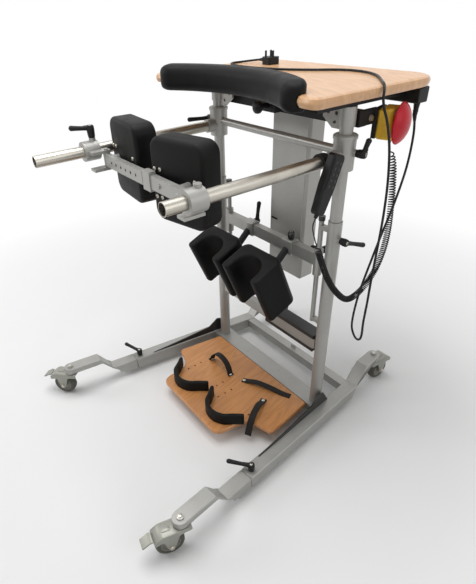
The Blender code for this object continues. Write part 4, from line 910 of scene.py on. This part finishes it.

# %% [markdown]
# The foot straps are webbing, 24 mm wide. A flat grid, which brings its own map, is laid along a line
# of points: its length follows the line and its width stays level. Solidify gives it its thickness.
# Bright rivets hold the ends.

# %% Foot straps
STRAP_WIDTH, STRAP_THICK = 0.024, 0.0022


def strap(name, node, start, end, path, riveted):
    heading = (Vector((*end, 0.0)) - Vector((*start, 0.0))).normalized()
    across = Vector((-heading.y, heading.x, 0.0))
    line = smooth_line([(along, up, 0.0) for along, up in path], 10)
    rest = FOOT_TOP + SEAT + 0.0015
    work = bmesh.new()
    layer = work.loops.layers.uv.new("weave")
    bmesh.ops.create_grid(work, x_segments=len(line) - 1, y_segments=6, size=1.0, calc_uvs=False)
    gone = [0.0]
    for first, second in zip(line, line[1:]):
        gone.append(gone[-1] + (second - first).length)
    for face in work.faces:
        for corner in face.loops:
            step = round((corner.vert.co.x + 1.0) / 2.0 * (len(line) - 1))
            corner[layer].uv = (gone[step], corner.vert.co.y * STRAP_WIDTH / 2)
    for vertex in work.verts:
        step = round((vertex.co.x + 1.0) / 2.0 * (len(line) - 1))
        point = line[step]
        curl = 0.0006 * (vertex.co.y ** 2)
        spot = heading * point.x + across * vertex.co.y * STRAP_WIDTH / 2
        vertex.co = at(*start, rest) + spot + UP * (point.y - curl)
    facing_out(work)
    ribbon = new_piece(name, work, WEBBING, "base", [node], 60.0)
    thick = ribbon.modifiers.new("thickness", "SOLIDIFY")
    thick.thickness = STRAP_THICK
    thick.offset = 0.0
    places = []
    for index in riveted:
        along, up = path[-index]
        inward = 0.008 if index == 0 else -0.008
        places.append(at(*start, rest + up + 0.0012) + heading * (along + inward))
    fasteners(name + "_rivets", RIVET, places, UP, "base", 20)
    print(name, "length", round(gone[-1], 3))


strap("left_foot_strap", "left_strap", (-0.168, -0.165), (-0.023, -0.165),
      mm((0, 0), (12, 4), (22, 30), (45, 52), (80, 58), (112, 46), (130, 22), (135, 4), (145, 0)),
      (0, 1))
strap("middle_foot_strap", "middle_strap", (0.024, -0.146), (0.232, -0.052),
      mm((0, 0), (20, 2), (60, 13), (120, 10), (170, 1), (205, 0)), (0,))
strap("right_foot_strap", "right_strap", (0.160, -0.150), (0.245, -0.312),
      mm((0, 0), (16, 2), (50, 20), (90, 24), (128, 10), (150, -20), (160, -36)),
      (0,))

# %% [markdown]
# The clamp levers are black castings: a stout hub with a steel screw in its top, and an arm that gets
# slimmer and then ends in a round knob. Each one stands on the point that its body turns about.

# %% Clamp levers
PIVOTS = {joint["child"]: Vector(joint["pos_m"])
          for joint in frame["record"]["behaviour"]["joints"] if "pos_m" in joint}


def clamp_lever(node, axis, arm, hub, reach):
    axis, arm = Vector(axis).normalized(), Vector(arm).normalized()
    seat = PIVOTS[node]
    profile = [(0.0, hub + 0.0085), (0.0052, hub + 0.0085), (0.0060, hub + 0.0095), (0.0092, hub + 0.0088),
               (0.0112, hub + 0.0060), (0.0118, hub - 0.002), (0.0106, 0.0045),
               (0.0096, 0.0015), (0.0096, 0.0004), (0.0, 0.0004)]
    work = turned(profile, axis, seat, 28)
    top = seat + axis * hub
    bend = [top, top + arm * 0.012 + axis * 0.001, top + arm * reach * 0.40, top + arm * reach * 0.75,
            top + arm * (reach - 0.006)]
    line = smooth_line(bend, 6)
    thick = [0.0086 - 0.0022 * min(index / 12, 1.0) + 0.0014 * max(index - 12, 0) / 12
             for index in range(len(line))]
    knob = 0.0080
    for step in range(1, 7):
        angle = math.pi / 2 * step / 6
        line.append(line[24] + arm * knob * math.sin(angle))
        thick.append(max(knob * math.cos(angle), 0.0003))
    added(work, tube(line, 1.0, 4, thick))
    new_piece(node + "_cast", work, BLACK, node, [node], 40.0)
    fasteners(node + "_screw", SCREW, [top + axis * 0.0068], axis, node)


LEVERS = {
    "left_leg_lever": ((0, 0, 1), (-0.93, -0.36, 0.12), 0.020, 0.080),
    "right_leg_lever": ((0, 0, 1), (-0.72, -0.68, 0.12), 0.020, 0.080),
    "upright_lever": ((1, 0, 0), (0.02, 0.92, -0.36), 0.016, 0.095),
    "left_collar_lever": ((-1, 0, 0), (-0.15, -0.98, 0.05), 0.020, 0.085),
    "right_collar_lever": ((0.96, 0.28, 0), (0.20, 0.20, 0.96), 0.018, 0.040),
    "hip_lever": ((0, 0, 1), (-0.25, -0.90, 0.10), 0.026, 0.060),
    "knee_height_lever": ((0, 1, 0), (-0.95, 0.1, -0.30), 0.018, 0.070),
    "left_knee_lever": ((0, 1, 0), (0.05, 0.1, 1), 0.018, 0.072),
    "right_knee_lever": ((0, 0, 1), (0.70, -0.64, 0.30), 0.016, 0.060),
}
for node, shape in LEVERS.items():
    clamp_lever(node, *shape)
print("levers made")

# %% [markdown]
# The wheels are turned too: a soft tyre with a crowned tread, a paler hub with a dished face, and the
# same on both sides. The hub's bore stays clear of the axle.

# %% Wheels
def mirrored(half):
    return half + [(radius, -height) for radius, height in reversed(half)]


def caster_wheel(name, angle):
    centre = middle(name + "_wheel")
    axle = (-math.sin(angle), math.cos(angle), 0.0)
    tyre = mirrored(mm((30.5, 15), (34.5, 16.6), (39, 15.8), (42.8, 12.2), (44.4, 7), (44.9, 2)))
    new_piece(name + "_tyre", turned(tyre, axle, centre, 48), RUBBER, name + "_wheel", [name + "_wheel"],
              50.0)
    hub = mirrored(mm((6.6, 16), (11, 16), (12.5, 11.8), (24, 10.5), (27.5, 14.8), (30.3, 14.8)))
    new_piece(name + "_hub", turned(hub, axle, centre, 40), HUB, name + "_wheel", (), 40.0)


CASTERS = {"left_front_caster": math.radians(222), "right_front_caster": math.radians(257),
           "left_rear_caster": math.radians(90), "right_rear_caster": math.radians(90)}
for name, angle in CASTERS.items():
    caster_wheel(name, angle)
print("wheels made")

# %% [markdown]
# A caster's hood is pressed from sheet: a roof that slopes down over the wheel, and two cheeks that get
# narrow towards the axle and leave the wheel's sides open. Each is an outline with the sheet's thickness.

# %% Caster hoods
BOLT = mm((0, 5.8), (4.2, 5.8), (6.6, 5), (7.2, 3.6), (7.2, 0.8), (8.8, 0.6), (8.8, 0), (0, 0))
SHEET = 0.0028
HOOD_HALF = 0.025
TRAIL, AXLE_Z = 0.040, 0.045
NECK_TOP = 0.135
STAND = Matrix.Rotation(math.pi / 2, 4, "X")


def standing(corners, first, last):
    work = rounded(raised(outline(corners, 4), last - first), 0.0006, 2, 60.0)
    return moved(work, STAND @ Matrix.Translation((0.0, 0.0, first)))


def caster_hood(name, angle):
    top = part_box(name + "_fork")[1][2]
    roof = top - 0.003
    cheek = [(-0.026, roof, 0.002), (-0.026, roof - 0.014, 0.004), (0.012, roof - 0.018, 0.010),
             (0.029, 0.040, 0.010), (0.040, 0.033, 0.006), (0.051, 0.040, 0.010),
             (0.060, 0.082, 0.008), (0.088, 0.076, 0.003), (0.088, 0.090, 0.003), (0.066, roof, 0.008)]
    cover = [(-0.026, roof, 0.0), (-0.026, roof - SHEET, 0.0), (0.065, roof - SHEET, 0.006),
             (0.0852, 0.0888, 0.002), (0.0852, 0.078, 0.0), (0.088, 0.078, 0.0),
             (0.088, 0.090, 0.003), (0.066, roof, 0.008)]
    work = standing(cover, SHEET - HOOD_HALF, HOOD_HALF - SHEET)
    added(work, standing(cheek, -HOOD_HALF, SHEET - HOOD_HALF))
    added(work, standing(cheek, HOOD_HALF - SHEET, HOOD_HALF))
    boss = rounded(raised(outline(rectangle(0.013, 0.008, 0.004), 4), 0.0040), 0.0008, 2, 60.0)
    added(work, moved(boss, Matrix.Translation((0.047, 0.0, top - 0.0045))))
    race = mm((0, 0), (19.5, 0), (21, -1.2), (21, -5), (0, -5))
    added(work, turned(race, UP, UP * top, 32))
    place = Matrix.Translation((*PIVOTS[name + "_swivel"].xy, 0.0)) @ Matrix.Rotation(angle, 4, "Z")
    new_piece(name + "_hood", moved(work, place), CASTER, name + "_swivel", [name + "_fork"])
    axle = bmesh.new()
    for side in (-1.0, 1.0):
        added(axle, turned(BOLT, (0.0, side, 0.0), (TRAIL, side * HOOD_HALF, AXLE_Z), 18))
    added(axle, turned([(0.0, 0.0255), (0.0060, 0.0255), (0.0060, -0.0255), (0.0, -0.0255)], (0.0, 1.0, 0.0),
                       (TRAIL, 0.0, AXLE_Z), 20))
    new_piece(name + "_axle", moved(axle, place), BRIGHT, name + "_swivel", ())
    kingpin = Vector((*PIVOTS[name + "_swivel"].xy, NECK_TOP + 0.004))
    carrier = "base" if "rear" in name else name.replace("caster", "leg")
    fasteners(name + "_kingpin", BOLT, [kingpin], UP, carrier, 18)


for name, angle in CASTERS.items():
    caster_hood(name, angle)
print("caster hoods made")

# %% [markdown]
# The handrails are cut from thin tube, so their open ends show a bore and a bright rim. Turning them
# gives a round tube without facets, with a small chamfer where the saw's burr was taken off.

# %% Handrail tubes
def handrail(word):
    low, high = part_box(word + "_handrail")
    half, radius, bore, chamfer = (high[1] - low[1]) / 2, 0.01685, 0.01485, 0.0005
    wall = mirrored([(bore, half), (radius - chamfer, half), (radius, half - chamfer)])
    work = turned(wall, (0.0, 1.0, 0.0), middle(word + "_handrail"), 56)
    new_piece(word + "_rail_tube", work, STEEL, "handrails", [word + "_handrail"])


for word in ("left", "right"):
    handrail(word)
print("handrails made")

# %% [markdown]
# The stop is a wide red mushroom on a yellow box, and both stay bare. A lip runs round the button's edge.
# One bright bolt holds the bracket, and a plain round knob is set in the column's front. Beside it a thin
# black plate is painted shade: it stands for the dark opening of a slot.

# %% Stop button, bolt and column fittings
press = Matrix.Rotation(STOP_TURN, 3, "Z") @ Vector((0.0, 1.0, 0.0))
mushroom = mm((0, 36), (10, 35.5), (20, 33.8), (30, 30.8), (39, 26.2), (46, 21), (50.5, 16), (52.8, 13.2),
              (53, 11.2), (52.2, 9.4), (50, 8.8), (16, 8.8), (16, -6), (0, -6))
button = turned(mushroom, press, STOP_CENTRE + SHIFT, 56)
new_piece("stop_mushroom", button, RED, "stop_button", ["stop_button"], 45.0)
fasteners("bracket_bolt", BOLT, [at(0.2994, 0.070, 1.062)], (1.0, 0.0, 0.0), "upper_frame", 18)
ROUND_KNOB = mm((0, 16.5), (6, 16.3), (11, 14.8), (13.8, 11), (14.2, 0), (0, 0))
socket = turned(ROUND_KNOB, (0.0, -1.0, 0.0), at(0.050, 0.072, middle("lift_column").z - 0.13985), 30)
new_piece("column_socket_cap", socket, BLACK, "upper_frame", ())
# The slot is not cut: a thin black plate on the column's front is painted shade for its opening.
slot_shade = raised(outline(rectangle(0.016, 0.0035, 0.003), 5), 0.0008)
moved(slot_shade, Matrix.Translation(at(-0.056, 0.0719, 0.674)) @ Matrix.Rotation(math.pi / 2, 4, "X"))
new_piece("column_painted_shade", slot_shade, BLACK, "upper_frame", ())
print("stop and column fittings made")

# %% [markdown]
# The handset's panel gets two columns of plain round keys. The mains lead gets a tapered sleeve at its
# gland and another at its plug, as every lead has where it would otherwise be bent too sharply.

# %% Keys and strain reliefs
KEY = mm((0, 1.2), (3.1, 1.1), (3.9, 0.5), (4.1, 0), (0, 0))
handset = Matrix.Translation(at(*HANDSET)) @ Matrix.Rotation(HANDSET_TILT, 4, "X")
keys = bmesh.new()
for row in range(5):
    for across in (-0.0075, 0.0075):
        place = handset @ Vector((0.0145, across, -0.002 + 0.015 * row))
        added(keys, turned(KEY, (1.0, 0.0, 0.0), place, 18))
new_piece("handset_keys", keys, KEYS, "handrails", ())


def sleeve(name, points, body):
    line = smooth_line(points, 8)
    steps = [min(int(10 * index / (len(line) - 1)), 10) for index in range(len(line))]
    thick = [0.0074 - 0.00036 * step - (0.0004 if step % 2 else 0.0) for step in steps]
    new_piece(name, tube(line, 1.0, 4, thick), CORD, body, (), 40.0)


sleeve("gland_sleeve", mains_line[:4], "tray")
tip = mains_line[-1]
sleeve("plug_sleeve", [tip, tip - Vector((0.010, 0.0, 0.0)), mains_line[-2], mains_line[-5]], "tray")
print("keys and sleeves made")

# %% [markdown]
# The stage is a white floor that keeps the shadow near the object and turns to plain white further
# off, so it meets the white surroundings without a line. A large soft lamp hangs above, as the ceiling
# lights did, and weaker ones fill the sides.

# %% Floor, lamps and surroundings
def pale_floor():
    work = bmesh.new()
    bmesh.ops.create_grid(work, x_segments=1, y_segments=1, size=8.0)
    mesh = bpy.data.meshes.new("floor")
    work.to_mesh(mesh)
    work.free()
    finish, place = new_finish("floor_white", roughness=0.9)
    far = place.node("ShaderNodeVectorMath", {0: place}, 1, operation="LENGTH").within(0.9, 2.2)
    dapple = place.noise(3.0, 2.0)
    link(finish, base_color=dapple.colours((0.88, 0.88, 0.88), (0.90, 0.90, 0.90)))
    tree = finish.node_tree
    glow = place.node("ShaderNodeEmission", {"Color": (1.0, 1.0, 1.0, 1.0), "Strength": 1.0})
    shader = tree.nodes["Principled BSDF"].outputs[0]
    both = place.node("ShaderNodeMixShader", {0: far, 1: Shade(tree, shader), 2: glow})
    tree.links.new(both.socket, tree.nodes["Material Output"].inputs["Surface"])
    mesh.materials.append(finish)
    floor = placed("floor", mesh)
    floor.location.z = -0.0005
    return floor


def soft_lamp(name, place, target, size, watts):
    lamp = bpy.data.lights.new(name, "AREA")
    lamp.shape = "DISK"
    lamp.size = size
    lamp.energy = watts
    thing = placed(name, lamp)
    thing.location = place
    thing.rotation_euler = (Vector(target) - Vector(place)).to_track_quat("-Z", "Y").to_euler()


def white_surroundings():
    world = bpy.data.worlds.new("surroundings")
    world.use_nodes = True
    tree = world.node_tree
    rays = tree.nodes.new("ShaderNodeLightPath")
    seen = Shade(tree, rays.outputs["Is Camera Ray"])
    for name in ("Is Glossy Ray", "Is Transmission Ray"):
        seen = seen.math("MAXIMUM", Shade(tree, rays.outputs[name]))
    strength = seen.within(0.0, 1.0, 0.34, 1.0)
    tree.links.new(strength.socket, tree.nodes["Background"].inputs["Strength"])
    tree.nodes["Background"].inputs["Color"].default_value = (1.0, 1.0, 1.0, 1.0)
    bpy.context.scene.world = world


floor = pale_floor()
soft_lamp("ceiling_lamp", (-0.3, -0.2, 3.4), (0.0, 0.0, 0.6), 2.4, 68.0)
soft_lamp("side_lamp", (-2.4, -2.2, 2.2), (0.0, 0.0, 0.7), 1.6, 24.0)
soft_lamp("fill_lamp", (2.6, 0.6, 2.0), (0.0, 0.0, 0.7), 1.8, 10.0)
white_surroundings()
bpy.context.scene.view_settings.view_transform = "Standard"
print("stage set")

# %% Update the view layer
bpy.context.view_layer.update()
